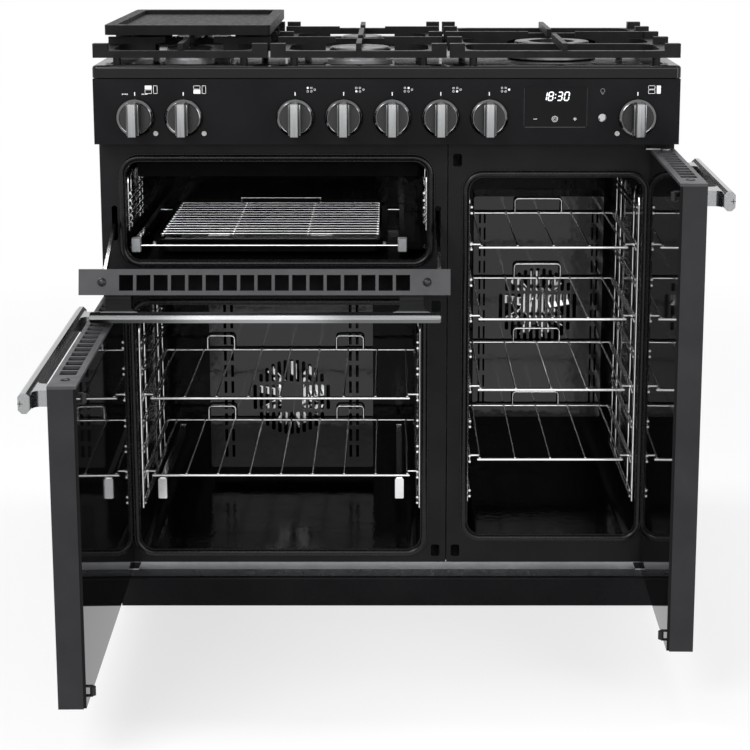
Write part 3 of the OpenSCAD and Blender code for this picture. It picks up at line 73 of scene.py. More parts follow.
def spread(tree, fac, low, high, start=0.35, end=0.65):
    """Maps a noise to a range of numbers."""
    node = tree.nodes.new("ShaderNodeMapRange")
    node.inputs["From Min"].default_value = start
    node.inputs["From Max"].default_value = end
    node.inputs["To Min"].default_value = low
    node.inputs["To Max"].default_value = high
    tree.links.new(fac, node.inputs["Value"])
    return node.outputs["Result"]


def tint(tree, fac, dark, light):
    """Maps a noise to a range of colours."""
    ramp = tree.nodes.new("ShaderNodeValToRGB")
    ramp.color_ramp.elements[0].position = 0.3
    ramp.color_ramp.elements[1].position = 0.7
    ramp.color_ramp.elements[0].color = (*dark, 1)
    ramp.color_ramp.elements[1].color = (*light, 1)
    tree.links.new(fac, ramp.inputs["Fac"])
    return ramp.outputs["Color"]


def bump(tree, shader, layers):
    """Stacks bumps on the shader's normal. A layer is (height, strength, distance in metres)."""
    normal = None
    for height, strength, distance in layers:
        node = tree.nodes.new("ShaderNodeBump")
        node.inputs["Strength"].default_value = strength
        node.inputs["Distance"].default_value = distance
        tree.links.new(height, node.inputs["Height"])
        if normal is not None:
            tree.links.new(normal, node.inputs["Normal"])
        normal = node.outputs["Normal"]
    tree.links.new(normal, shader.inputs["Normal"])


def along(tree, axis, start, end):
    """0 to 1 between two places along an object axis, in metres."""
    coord = tree.nodes.new("ShaderNodeTexCoord")
    split = tree.nodes.new("ShaderNodeSeparateXYZ")
    tree.links.new(coord.outputs["Object"], split.inputs[0])
    return spread(tree, split.outputs[axis], 0.0, 1.0, start, end)


def shade(mat, axis, start, end, stops):
    """Multiplies a material's base colour by greys placed from 0 to 1 along an object axis."""
    tree = mat.node_tree
    fac = along(tree, axis, start, end)
    base = tree.nodes["Principled BSDF"].inputs["Base Color"]
    ramp = tree.nodes.new("ShaderNodeValToRGB")
    ramp.color_ramp.interpolation = "EASE"
    while len(ramp.color_ramp.elements) < len(stops):
        ramp.color_ramp.elements.new(0.5)
    for element, (at, grey) in zip(ramp.color_ramp.elements, stops):
        element.position = at
        element.color = (grey, grey, grey, 1)
    mix = tree.nodes.new("ShaderNodeMix")
    mix.data_type = "RGBA"
    mix.blend_type = "MULTIPLY"
    mix.inputs["Factor"].default_value = 1.0
    tree.links.new(fac, ramp.inputs["Fac"])
    tree.links.new(base.links[0].from_socket, mix.inputs["A"])
    tree.links.new(ramp.outputs["Color"], mix.inputs["B"])
    tree.links.new(mix.outputs["Result"], base)


def enamel(name, dark, light, rough, peel, peel_mm, fine=0.25, shine=0.2):
    """Glassy enamel: a deep colour, orange peel and a faint haze."""
    mat, tree, shader = new_material(name)
    tree.links.new(tint(tree, noise(tree, 9), dark, light), shader.inputs["Base Color"])
    tree.links.new(spread(tree, noise(tree, 26), rough * 0.7, rough * 1.5),
                   shader.inputs["Roughness"])
    shader.inputs["Specular IOR Level"].default_value = shine
    bump(tree, shader, [(noise(tree, peel, 2), 1.0, peel_mm * MM),
                        (noise(tree, peel * 4, 2), fine, peel_mm * MM * 0.3)])
    return mat


def powder(name, dark, light, rough, grain=900, depth=0.06, shine=0.14):
    """Powder coat: a fine even grain, slightly cloudy."""
    mat, tree, shader = new_material(name)
    tree.links.new(tint(tree, noise(tree, 14), dark, light), shader.inputs["Base Color"])
    tree.links.new(spread(tree, noise(tree, 60), rough * 0.85, rough * 1.15),
                   shader.inputs["Roughness"])
    shader.inputs["Specular IOR Level"].default_value = shine
    bump(tree, shader, [(noise(tree, grain, 2), 0.7, depth * MM)])
    return mat


def metal(name, dark, light, rough, streak=None, fine=700.0, depth=0.01):
    """Bare or plated metal. streak is the axis along which it is brushed."""
    mat, tree, shader = new_material(name)
    shader.inputs["Metallic"].default_value = 1.0
    stretch = tuple(0.012 if a == streak else 1.0 for a in "xyz") if streak else (1, 1, 1)
    tree.links.new(tint(tree, noise(tree, fine if streak else 12, 4, 0.6, stretch), dark, light),
                   shader.inputs["Base Color"])
    haze = noise(tree, fine * 0.6, 3, 0.6, stretch)
    tree.links.new(spread(tree, haze, rough * 0.75, rough * 1.3), shader.inputs["Roughness"])
    bump(tree, shader, [(noise(tree, fine, 3, 0.6, stretch), 0.5, depth * MM)])
    return mat


def cast(name, dark, light, rough, coarse=420, depth=0.35):
    """Cast iron under matt enamel: a sandy skin with rounded pits."""
    mat, tree, shader = new_material(name)
    tree.links.new(tint(tree, noise(tree, 30, 5), dark, light), shader.inputs["Base Color"])
    tree.links.new(spread(tree, noise(tree, 120), rough * 0.8, rough * 1.2),
                   shader.inputs["Roughness"])
    shader.inputs["Specular IOR Level"].default_value = 0.11
    bump(tree, shader, [(noise(tree, coarse, 4), 0.6, depth * MM),
                        (noise(tree, coarse * 3.5, 3), 0.4, depth * MM * 0.4)])
    return mat


def rubber(name):
    """Seal rubber: matt, with slow waves along its length and dust in its grain."""
    mat, tree, shader = new_material(name)
    tree.links.new(tint(tree, noise(tree, 45, 4), (0.003, 0.003, 0.0035), (0.007, 0.007, 0.0075)),
                   shader.inputs["Base Color"])
    shader.inputs["Specular IOR Level"].default_value = 0.26
    tree.links.new(spread(tree, noise(tree, 160), 0.2, 0.32), shader.inputs["Roughness"])
    bump(tree, shader, [(noise(tree, 34, 2), 0.6, 1.2 * MM),
                        (noise(tree, 700, 2), 0.2, 0.02 * MM)])
    return mat


def plain(name, color, rough, glow=0.0, vary=0.12):
    """Small mouldings and printed marks: a colour with slight variation, and a light if asked."""
    mat, tree, shader = new_material(name)
    dark = tuple(c * (1 - vary) for c in color)
    light = tuple(min(1.0, c * (1 + vary)) for c in color)
    tree.links.new(tint(tree, noise(tree, 300), dark, light), shader.inputs["Base Color"])
    tree.links.new(spread(tree, noise(tree, 900), rough * 0.85, rough * 1.15),
                   shader.inputs["Roughness"])
    if glow:
        shader.inputs["Emission Color"].default_value = (*color, 1)
        shader.inputs["Emission Strength"].default_value = glow
    bump(tree, shader, [(noise(tree, 1600, 2), 0.3, 0.02 * MM)])
    return mat


def dark_glass(name, color=(0.006, 0.006, 0.007), rough=0.02):
    """Tinted oven glass: nearly black, with a hard reflection that hardly waves."""
    mat, tree, shader = new_material(name)
    light = tuple(c * 1.6 for c in color)
    tree.links.new(tint(tree, noise(tree, 6), color, light), shader.inputs["Base Color"])
    tree.links.new(spread(tree, noise(tree, 30), rough, rough * 2.2), shader.inputs["Roughness"])
    shader.inputs["Specular IOR Level"].default_value = 0.16
    bump(tree, shader, [(noise(tree, 3.5, 1), 0.1, 0.3 * MM)])
    return mat


BLACK = (0.003, 0.003, 0.0035)
M = {
    "hob": enamel("hob_enamel", (0.001, 0.001, 0.0012), BLACK, 0.1, 260, 0.02, shine=0.26),
    "cavity": enamel("cavity_enamel", (0.0015, 0.0015, 0.0018), (0.004, 0.004, 0.0045), 0.1, 70,
                     0.4, 0.4, shine=0.08),
    "cover": enamel("cover_enamel", (0.002, 0.002, 0.0022), (0.005, 0.005, 0.0055), 0.08, 30,
                    0.3, 0.3, shine=0.5),
    "pit": powder("element_enamel", (0.001, 0.001, 0.0012), (0.002, 0.002, 0.0022), 0.5,
                  shine=0.03),
    "frame": powder("frame_paint", (0.008, 0.008, 0.009), (0.012, 0.012, 0.013), 0.42, shine=0.1),
    "door": powder("door_powder", (0.018, 0.018, 0.020), (0.025, 0.025, 0.028), 0.52, 1300, 0.05),
    "panel": powder("panel_paint", (0.006, 0.006, 0.007), (0.009, 0.009, 0.010), 0.36, shine=0.07),
    "trim": powder("trim_paint", (0.045, 0.045, 0.048), (0.06, 0.06, 0.064), 0.45, shine=0.24),
    "plinth": powder("plinth_paint", (0.004, 0.004, 0.005), (0.007, 0.007, 0.008), 0.3,
                     shine=0.08),
    "zinc": metal("zinc", (0.42, 0.43, 0.45), (0.62, 0.63, 0.65), 0.42, fine=300),
    "cast": cast("cast_iron", (0.004, 0.004, 0.0045), (0.010, 0.010, 0.011), 0.4),
    "griddle": cast("griddle_iron", (0.003, 0.003, 0.0035), (0.008, 0.008, 0.009), 0.5, 520, 0.3),
    "brushed_x": metal("brushed_x", (0.50, 0.51, 0.52), (0.62, 0.63, 0.64), 0.3, "x"),
    "brushed_y": metal("brushed_y", (0.33, 0.335, 0.34), (0.42, 0.425, 0.43), 0.26, "y"),
    "brushed_z": metal("brushed_z", (0.24, 0.245, 0.25), (0.36, 0.365, 0.37), 0.36, "z", 1500),
    "chrome": metal("chrome", (0.5, 0.505, 0.51), (0.64, 0.645, 0.65), 0.1, depth=0.004),
    # Painted shade: the knobs' chrome rims are a darker copy of the chrome on the fans and light
    # button
    "ring": metal("knob_chrome_painted_shade", (0.12, 0.121, 0.123), (0.19, 0.192, 0.195), 0.14, depth=0.004),
    "arm": metal("arm_steel", (0.4, 0.4, 0.41), (0.56, 0.56, 0.57), 0.22, fine=400),
    "screw": metal("black_screw", (0.02, 0.02, 0.021), (0.05, 0.05, 0.052), 0.3, fine=500),
    "wire": metal("wire_chrome", (0.66, 0.66, 0.67), (0.86, 0.86, 0.87), 0.16, depth=0.02),
    "alloy": metal("cast_alloy", (0.3, 0.3, 0.31), (0.44, 0.44, 0.45), 0.38, fine=500, depth=0.06),
    "steel": metal("plain_steel", (0.2, 0.2, 0.21), (0.36, 0.36, 0.37), 0.36, fine=400),
    "brass": metal("brass", (0.42, 0.32, 0.16), (0.62, 0.5, 0.26), 0.4, fine=400),
    "cap": enamel("burner_enamel", (0.01, 0.01, 0.011), (0.02, 0.02, 0.021), 0.25, 300, 0.06),
    "seal": rubber("seal_rubber"),
    "glass": dark_glass("door_glass", (0.0015, 0.0015, 0.0018)),
    "display": dark_glass("display_glass", (0.002, 0.002, 0.0025), 0.06),
    "lens": plain("lens", (0.42, 0.40, 0.38), 0.18),
    "grey_cap": plain("grey_moulding", (0.30, 0.31, 0.32), 0.42),
    "print": plain("white_print", (0.86, 0.86, 0.86), 0.5),
    "print_dim": plain("grey_print", (0.34, 0.34, 0.345), 0.5),
    # Painted highlight on the rim of the clock's recess
    "edge_highlight": plain("clock_edge_highlight", (0.05, 0.05, 0.052), 0.3),
    "lit": plain("lit_segment", (0.85, 0.88, 0.9), 0.4, glow=0.8),
    "knob_face": plain("knob_face", (0.008, 0.008, 0.009), 0.35),
}

FINISH = {
    "hob": ["hob_tray"],
    "cavity": ["grill_cavity", "oven_cavity_left", "oven_cavity_tall", "grill_pan"],
    "cover": ["fan_covers"],
    "pit": ["grill_element"],
    "frame": ["front_frame_left", "front_frame_right"],
    "door": ["door_left", "door_tall", "door_grill", "side_panels"],
    "panel": ["control_panel"],
    "trim": ["trim_left", "trim_tall", "trim_grill"],
    "plinth": ["plinth"],
    "zinc": ["back_panel", "chassis_base"],
    "cast": ["pan_support_left", "pan_support_centre", "pan_support_right"],
    "griddle": ["griddle"],
    "brushed_x": ["handle_grill"],
    "brushed_y": ["handle_left", "handle_tall"],
    "chrome": ["light_button", "fan_left", "fan_tall"],
    "wire": ["shelf_racks", "grill_trivet", "grill_cradle", "tall_shelf_1", "tall_shelf_2",
             "tall_shelf_3", "tall_shelf_4", "left_shelf_1", "left_shelf_2", "left_runner"],
    "alloy": ["burner_bases"],
    "steel": ["hinge_brackets", "fan_motors"],
    "arm": ["grill_hinge_arms"],
    "brass": ["taps_and_switches"],
    "cap": ["burner_caps"],
    "seal": ["door_seals"],
    "glass": ["glass_left", "glass_tall", "glass_grill"],
    "display": ["clock_module"],
    "lens": ["indicator_lenses"],
}
for key, names in FINISH.items():
    for name in names:
        data = nodes[name].data
        data.materials.clear()
        data.materials.append(M[key])

# Painted light on the grill handle: a painted reflection brightens the middle of its bar, and
# painted shade darkens its brackets, which face the dark door
low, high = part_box("handle_grill")
# Painted reflection: the bar's colour rises to a bright middle and falls off towards both ends
shade(M["brushed_x"], "X", low[0], high[0],
      [(0.0, 0.27), (0.17, 0.29), (0.34, 0.7), (0.58, 0.7), (0.76, 0.3), (1.0, 0.3)])
# Painted shade: above these heights over the bar's bottom the brackets darken nearly to black
BRACKET_SHADE_FROM, BRACKET_SHADE_FULL = 18 * MM, 22 * MM
shade(M["brushed_x"], "Z", low[2] + BRACKET_SHADE_FROM, low[2] + BRACKET_SHADE_FULL,
      [(0.0, 1.0), (1.0, 0.05)])
# The hob's rim shines, and its tray lies dull between the burners
low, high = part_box("hob_tray")
tree = M["hob"].node_tree
RIM_END, TRAY_START = 6 * MM, 12 * MM
inward = along(tree, "Y", low[1] + RIM_END, low[1] + TRAY_START)
dull = spread(tree, inward, 0.3, 0.03, 0.0, 1.0)
tree.links.new(dull, tree.nodes["Principled BSDF"].inputs["Specular IOR Level"])
# Painted shade on the grill's links: bright near the trim, their colour darkens towards the frame
low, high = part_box("grill_hinge_arms")
shade(M["arm"], "Z", low[2], high[2], [(0.0, 1.0), (0.4, 1.0), (0.6, 0.08), (1.0, 0.05)])

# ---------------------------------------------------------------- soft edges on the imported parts


def soften(name, width, angle=35):
    """Small round edges, so that a sheet or casting catches the light along its edges."""
    o = nodes[name]
    flat = o.modifiers.new("planar", "DECIMATE")
    flat.decimate_type = "DISSOLVE"
    flat.angle_limit = math.radians(1)
    edge = o.modifiers.new("edges", "BEVEL")
    edge.width = width * MM
    edge.segments = 2
    edge.limit_method = "ANGLE"
    edge.angle_limit = math.radians(angle)
    edge.harden_normals = True


for name in ("pan_support_left", "pan_support_centre", "pan_support_right"):
    soften(name, 1.6)
for name in ("griddle", "control_panel"):
    soften(name, 1.2)
for name in ("handle_left", "handle_tall", "handle_grill", "door_left", "door_tall", "door_grill"):
    soften(name, 0.7)

# ---------------------------------------------------------------- mesh helpers


def finish_mesh(name, bm, mats, body, smooth=True):
    """Turns a bmesh into a piece that rides on a body."""
    data = bpy.data.meshes.new(name)
    bmesh.ops.recalc_face_normals(bm, faces=bm.faces)
    bm.to_mesh(data)
    bm.free()
    for mat in mats:
        data.materials.append(mat)
    for face in data.polygons:
        face.use_smooth = smooth
    obj = bpy.data.objects.new(name, data)
    bpy.context.collection.objects.link(obj)
    if smooth:
        data.set_sharp_from_angle(angle=math.radians(32))
    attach(obj, body)
    return obj


def add_lathe(bm, profile, centre, axis="y", steps=64, mat=0):
    """Turns a profile of (radius, height) about an axis through centre. Heights run along -Y for
    "y" and along +Z for "z"."""
    rings = []
    for radius, height in profile:
        ring = []
        for i in range(steps):
            a = 2 * math.pi * i / steps
            u, v = radius * math.cos(a), radius * math.sin(a)
            at = Vector((u, -height, v)) if axis == "y" else Vector((u, v, height))
            ring.append(bm.verts.new(centre + at))
        rings.append(ring)
    for lower, upper in zip(rings, rings[1:]):
        for i in range(steps):
            j = (i + 1) % steps
            bm.faces.new((lower[i], lower[j], upper[j], upper[i])).material_index = mat
    for ring, radius in ((rings[0], profile[0][0]), (rings[-1], profile[-1][0])):
        if radius > 0:
            bm.faces.new(ring).material_index = mat


def add_block(bm, low, high, bevel=0.0, mat=0, segments=2):
    """A block between two corners with bevelled edges."""
    made = bmesh.ops.create_cube(bm, size=1.0)["verts"]
    size = Vector(high) - Vector(low)
    mid = (Vector(high) + Vector(low)) / 2
    for v in made:
        v.co = Vector((v.co.x * size.x, v.co.y * size.y, v.co.z * size.z)) + mid
    faces = {f for v in made for f in v.link_faces}
    for f in faces:
        f.material_index = mat
    if bevel:
        edges = {e for v in made for e in v.link_edges}
        bmesh.ops.bevel(bm, geom=list(edges), offset=bevel, segments=segments, affect="EDGES",
                        profile=0.6)


def add_flat(bm, points, y, mat=0, deep=0.00012):
    """A thin printed shape on a face that looks towards -Y, from its outline in X and Z."""
    front = [bm.verts.new((x, y - deep, z)) for x, z in points]
    back = [bm.verts.new((x, y, z)) for x, z in points]
    bm.faces.new(front).material_index = mat
    n = len(points)
    for i in range(n):
        j = (i + 1) % n
        bm.faces.new((front[i], front[j], back[j], back[i])).material_index = mat


def add_ring_flat(bm, cx, cz, r0, r1, y, start=0.0, end=360.0, steps=28, deep=0.00012):
    """A thin printed ring or arc."""
    span = math.radians(end - start)
    closed = abs(end - start) >= 360
    count = steps if closed else steps + 1
    inner, outer = [], []
    for i in range(count):
        a = math.radians(start) + span * i / steps
        c, s = math.cos(a), math.sin(a)
        inner.append(bm.verts.new((cx + r0 * c, y - deep, cz + r0 * s)))
        outer.append(bm.verts.new((cx + r1 * c, y - deep, cz + r1 * s)))
    for i in range(steps):
        j = (i + 1) % count
        bm.faces.new((inner[i], outer[i], outer[j], inner[j]))


def rect(cx, cz, w, h):
    return [(cx - w / 2, cz - h / 2), (cx + w / 2, cz - h / 2), (cx + w / 2, cz + h / 2),
            (cx - w / 2, cz + h / 2)]


def disc(cx, cz, r, steps=20):
    turns = [2 * math.pi * i / steps for i in range(steps)]
    return [(cx + r * math.cos(a), cz + r * math.sin(a)) for a in turns]


# ---------------------------------------------------------------- knobs

KNOBS = ["knob_grill", "knob_left_oven", "knob_gas_1", "knob_gas_2", "knob_gas_3", "knob_gas_4",
         "knob_gas_5", "knob_tall_oven"]
PANEL_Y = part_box("control_panel")[0][1]
SEAT_GAP = 1.0 * MM
# The knob's chrome rim, as insets from its edge and heights above its seat, in mm
RIM = [(0, 0.6), (0, 4.2), (0.8, 5.6), (2.6, 7.6), (4.4, 8.6), (5.4, 8.4), (5.9, 7.4), (5.9, 6.4)]
RIM_FOOT = 0.86
GRIP_HALF_W, GRIP_HALF_H, GRIP_BACK = 6.4 * MM, 25.6 * MM, 5.5 * MM
# The dark cheeks beside the grip
CHEEK_HALF_W, CHEEK_HALF_H, CHEEK_BACK, CHEEK_SETBACK = 1.6 * MM, 24.0 * MM, 6.0 * MM, 9 * MM
knob_at = {}
for name in KNOBS:
    low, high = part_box(name)
    knob_at[name] = ((low[0] + high[0]) / 2, (low[2] + high[2]) / 2)
    ring_r = (high[0] - low[0]) / 2
    seat = Vector((knob_at[name][0], PANEL_Y - SEAT_GAP, knob_at[name][1]))
    bm = bmesh.new()
    r = ring_r - 0.2 * MM
    rim = [(r - inset * MM, height * MM) for inset, height in RIM]
    add_lathe(bm, [(r * RIM_FOOT, 0)] + rim, seat, steps=96)
    add_lathe(bm, [(r - 5.9 * MM, 6.0 * MM), (r - 6.4 * MM, 6.8 * MM), (0.4 * MM, 7.0 * MM)], seat,
              steps=96, mat=1)
    front = seat.y - low[1]
    add_block(bm, (seat.x - GRIP_HALF_W, seat.y - front, seat.z - GRIP_HALF_H),
              (seat.x + GRIP_HALF_W, seat.y - GRIP_BACK, seat.z + GRIP_HALF_H), 1.1 * MM, mat=2,
              segments=3)
    for side in (-1, 1):
        x = seat.x + side * (GRIP_HALF_W + CHEEK_HALF_W)
        add_block(bm, (x - CHEEK_HALF_W, seat.y - front + CHEEK_SETBACK, seat.z - CHEEK_HALF_H),
                  (x + CHEEK_HALF_W, seat.y - CHEEK_BACK, seat.z + CHEEK_HALF_H), 1.4 * MM, mat=1)
    knob = finish_mesh(name + "_dressed", bm, [M["ring"], M["knob_face"], M["brushed_z"]], name)
    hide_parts(name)

# ---------------------------------------------------------------- marks on the control panel

# Marks over the knobs' axes, icons over the marks, and icons beside them (burners in mm)
MARK_RISE, ICON_RISE, OVEN_SHIFT, BURNER_SHIFT = 36.5 * MM, 6.5 * MM, 28 * MM, 24
bm = bmesh.new()
mark_z = knob_at["knob_gas_1"][1] + MARK_RISE
Y = PANEL_Y
for name in KNOBS:
    add_flat(bm, rect(knob_at[name][0], mark_z, 1.5 * MM, 5.6 * MM), Y)


def oven_icon(bm, cx, cz, filled):
    """Outline of the three doors with one filled: 0 grill, 1 left oven, 2 tall oven."""
    w, h, t = 10.5 * MM, 12.5 * MM, 0.6 * MM
    left_x = cx - 7.0 * MM
    doors = [(left_x, cz + h * 0.27, w, h * 0.46), (left_x, cz - h * 0.25, w, h * 0.5),
             (cx + 3.8 * MM, cz, 6.2 * MM, h)]
    for i, (x, z, dw, dh) in enumerate(doors):
        if i == filled:
            add_flat(bm, rect(x, z, dw, dh), Y)
        else:
            for edge in (rect(x, z + dh / 2 - t / 2, dw, t), rect(x, z - dh / 2 + t / 2, dw, t),
                         rect(x - dw / 2 + t / 2, z, t, dh), rect(x + dw / 2 - t / 2, z, t, dh)):
                add_flat(bm, edge, Y)


icon_z = mark_z + ICON_RISE
for k, name in enumerate(("knob_grill", "knob_left_oven", "knob_tall_oven")):
    oven_icon(bm, knob_at[name][0] + OVEN_SHIFT, icon_z, k)
# The five burners in an icon, from its middle, in mm
BURNER_SPOTS = [(-4.6, 2.6), (-4.6, -2.6), (1.0, 2.6), (1.0, -2.6), (6.2, 0.0)]
for k in range(5):
    x, _ = knob_at[f"knob_gas_{k + 1}"]
    for i, (dx, dz) in enumerate(BURNER_SPOTS):
        at = (x + (BURNER_SHIFT + dx) * MM, icon_z + dz * MM)
        if i == k:
            add_flat(bm, disc(*at, 1.7 * MM), Y)
        else:
            add_ring_flat(bm, *at, 1.15 * MM, 1.6 * MM, Y, steps=18)
gx = knob_at["knob_grill"][0]
for side in (-1, 1):
    for i in range(4):
        x = gx + side * (11.5 + 2.4 * i) * MM
        add_flat(bm, rect(x, mark_z - 0.5 * MM, 1.5 * MM, 1.6 * MM), Y)
finish_mesh("panel_marks", bm, [M["print"]], "body", smooth=False)

bm = bmesh.new()
button_low, button_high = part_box("light_button")
bulb_x = (button_low[0] + button_high[0]) / 2
add_ring_flat(bm, bulb_x, icon_z - 1.5 * MM, 2.9 * MM, 3.3 * MM, Y, -55, 235)
for z in (-5.6, -6.8):
    add_flat(bm, rect(bulb_x, icon_z + z * MM, 2.6 * MM, 0.5 * MM), Y)
for side in (-1, 1):
    add_flat(bm, rect(bulb_x + side * 1.5 * MM, icon_z - 4.8 * MM, 0.4 * MM, 1.6 * MM), Y)
finish_mesh("light_mark", bm, [M["print_dim"]], "body", smooth=False)

# ---------------------------------------------------------------- clock

low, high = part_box("clock_module")
clock_y = low[1]
cx, cz = (low[0] + high[0]) / 2, (low[2] + high[2]) / 2
SEGMENTS = {"0": "abcdef", "1": "bc", "3": "abgcd", "8": "abcdefg"}
SLANT = 0.16
# Digits with their shifts from the clock's middle in mm; width, height and stroke of a digit
TIME = (("1", -17.0), ("8", -7.5), ("3", 6.5), ("0", 17.0))
DIGIT = (6.6 * MM, 12.6 * MM, 1.7 * MM)
DIGIT_RISE, KEY_DROP = 16.5 * MM, 18.5 * MM


def add_digit(bm, digit, x, z, w, h, t):
    """One seven-segment digit, leaning to the right."""
    bars = {"a": (0, h / 2, w, 0), "g": (0, 0, w, 0), "d": (0, -h / 2, w, 0),
            "f": (-w / 2, h / 4, 0, h / 2), "b": (w / 2, h / 4, 0, h / 2),
            "e": (-w / 2, -h / 4, 0, h / 2), "c": (w / 2, -h / 4, 0, h / 2)}
    for key in SEGMENTS[digit]:
        bx, bz, bw, bh = bars[key]
        lx, lz = (bw / 2 - t * 0.15, t / 2) if bw else (t / 2, bh / 2 - t * 0.15)
        end = t / 2
        if bw:
            pts = [(-lx, 0), (-lx + end, -lz), (lx - end, -lz), (lx, 0), (lx - end, lz),
                   (-lx + end, lz)]
        else:
            pts = [(0, -lz), (lx, -lz + end), (lx, lz - end), (0, lz), (-lx, lz - end),
                   (-lx, -lz + end)]
        add_flat(bm, [(x + bx + px + SLANT * (bz + pz), z + bz + pz) for px, pz in pts], clock_y)


bm = bmesh.new()
dz = cz + DIGIT_RISE
for digit, x in TIME:
    add_digit(bm, digit, cx + x * MM, dz, *DIGIT)
for z in (-2.6, 2.6):
    add_flat(bm, disc(cx + (-0.4 + SLANT * z) * MM, dz + z * MM, 0.9 * MM, 12), clock_y)
finish_mesh("clock_digits", bm, [M["lit"]], "body", smooth=False)

bm = bmesh.new()
key_z = cz - KEY_DROP
add_flat(bm, rect(cx - 31 * MM, key_z, 5.4 * MM, 0.8 * MM), clock_y)
add_flat(bm, rect(cx + 30 * MM, key_z, 5.4 * MM, 0.8 * MM), clock_y)
add_flat(bm, rect(cx + 30 * MM, key_z, 0.8 * MM, 5.4 * MM), clock_y - 0.00001)
add_ring_flat(bm, cx - 1 * MM, key_z, 4.0 * MM, 4.6 * MM, clock_y)
add_ring_flat(bm, cx - 1 * MM, key_z, 2.0 * MM, 2.5 * MM, clock_y, 130, 410)
add_flat(bm, rect(cx - 1 * MM, key_z + 1.8 * MM, 0.6 * MM, 2.6 * MM), clock_y)
finish_mesh("clock_keys", bm, [M["print"]], "body", smooth=False)

# Painted highlight: light strips along the bottom and up the sides of the clock's recess, where
# its edge catches the light
bm = bmesh.new()
span, rise = high[0] - low[0], high[2] - low[2]
add_flat(bm, rect(cx, low[2] + 0.7 * MM, span - 4 * MM, 1.0 * MM), clock_y)
for x in (low[0] + 0.6 * MM, high[0] - 0.6 * MM):
    add_flat(bm, rect(x, cz, 0.5 * MM, rise - 5 * MM), clock_y)
finish_mesh("clock_edge_highlight", bm, [M["edge_highlight"]], "body", smooth=False)

# ---------------------------------------------------------------- screws and grips

# Points this near the farthest one count as level with it; wider steps part two screws
FLUSH, APART = 0.15 * MM, 12 * MM


def clusters(node, way, axis):
    """The faces of a node that reach farthest along a direction, as boxes parted along an axis."""
    way = Vector(way).normalized()
    points = [v.co.copy() for v in nodes[node].data.vertices]
    top = max(p.dot(way) for p in points)
    near = sorted((p for p in points if p.dot(way) > top - FLUSH), key=lambda p: p[axis])
    groups = [[near[0]]]
    for p in near[1:]:
        if p[axis] - groups[-1][-1][axis] > APART:
            groups.append([])
        groups[-1].append(p)
    return [(Vector([min(p[i] for p in g) for i in range(3)]),
             Vector([max(p[i] for p in g) for i in range(3)])) for g in groups]


# The grill door hangs open by this angle
GRILL_OPEN = math.radians(78)
UP = (0, 0, 1)
# A washer and the domed head in it, as radii and heights in mm
SCREW = [(6.6, -0.2), (6.6, 0.25), (5.6, 0.5), (5.0, 0.1), (4.6, 0.5), (3.2, 1.2), (0.3, 1.4)]
CROSS_L, CROSS_W = 5.0, 1.1
for node, body, way, axis in (
        ("trim_left", "left_door", UP, 1), ("trim_tall", "tall_door", UP, 1),
        ("trim_grill", "grill_door", (0, -math.sin(GRILL_OPEN), math.cos(GRILL_OPEN)), 0)):
    turn = Vector(way).to_track_quat("Z", "Y").to_matrix().to_4x4()
    found = clusters(node, way, axis)
    # The rear screw of a side door runs under its hinge bracket, so it stays as it is
    for i, (low, high) in enumerate(found if axis == 0 else found[:1]):
        bm = bmesh.new()
        add_lathe(bm, [(r * MM, h * MM) for r, h in SCREW], Vector((0, 0, 0)), "z", 40)
        for w, d in ((CROSS_L, CROSS_W), (CROSS_W, CROSS_L)):
            add_block(bm, (-w / 2 * MM, -d / 2 * MM, 0.9 * MM),
                      (w / 2 * MM, d / 2 * MM, 1.45 * MM), mat=1)
        bmesh.ops.transform(bm, matrix=Matrix.Translation((low + high) / 2) @ turn, verts=bm.verts)
        finish_mesh(f"{node}_screw_{i}", bm, [M["screw"], M["knob_face"]], body)

for node, body in (("handle_left", "left_door"), ("handle_tall", "tall_door")):
    low, high = clusters(node, (0, -1, 0), 0)[0]
    bm = bmesh.new()
    x, z = (low.x + high.x) / 2, (low.z + high.z) / 2
    for w, h in ((7.0, 0.9), (0.9, 7.0)):
        add_flat(bm, rect(x, z, w * MM, h * MM), low.y, deep=0.04 * MM)
    finish_mesh(node + "_cap_mark", bm, [M["screw"]], body, smooth=False)

GRIP_SKIN, GRIP_DEPTH = Vector((0.3, 0.1, 0.3)) * MM, 12.2 * MM
for i, (low, high) in enumerate(clusters("grill_cradle", (0, -1, 0), 0)):
    bm = bmesh.new()
    back = Vector((high.x, low.y + GRIP_DEPTH, high.z))
    add_block(bm, low - GRIP_SKIN, back + GRIP_SKIN, 2.0 * MM, segments=4)
    finish_mesh(f"cradle_grip_{i}", bm, [M["grey_cap"]], "grill_cradle")

# ---------------------------------------------------------------- stage


LENS, SHIFT = 88.55, (-0.0241, -0.17)
CAMERA_AT, LOOK_DOWN = (0.0099, -3.1194, 1.1675), 10.944
# Soft boxes: name, place, aim, size and watts
LAMPS = [
    ("key", (-1.6, -2.6, 2.6), (0, -0.2, 0.5), (1.6, 1.2), 60),
    ("fill", (2.2, -2.4, 1.4), (0, -0.2, 0.5), (1.2, 1.8), 30),
    ("top", (0, 0.2, 2.6), (0, 0, 0.9), (2.4, 0.4), 45),
    ("front", (0, -3.6, 1.5), (0, 0, 0.5), (2.6, 0.7), 22),
]
# The paper is lit this far from its middle, and pure white from the second distance on
PAPER_NEAR, PAPER_FAR = 0.7, 2.6


def look_camera():
    """The photograph's viewpoint: a long lens held just over the hob, a little shifted."""
    data = bpy.data.cameras.new("view")
    data.sensor_width = 36.0
    data.lens = LENS
    data.shift_x, data.shift_y = SHIFT
    data.clip_end = 200
    cam = bpy.data.objects.new("view", data)
    cam.location = CAMERA_AT
    cam.rotation_euler = (math.radians(90 - LOOK_DOWN), 0, 0)
    bpy.context.collection.objects.link(cam)
    bpy.context.scene.camera = cam


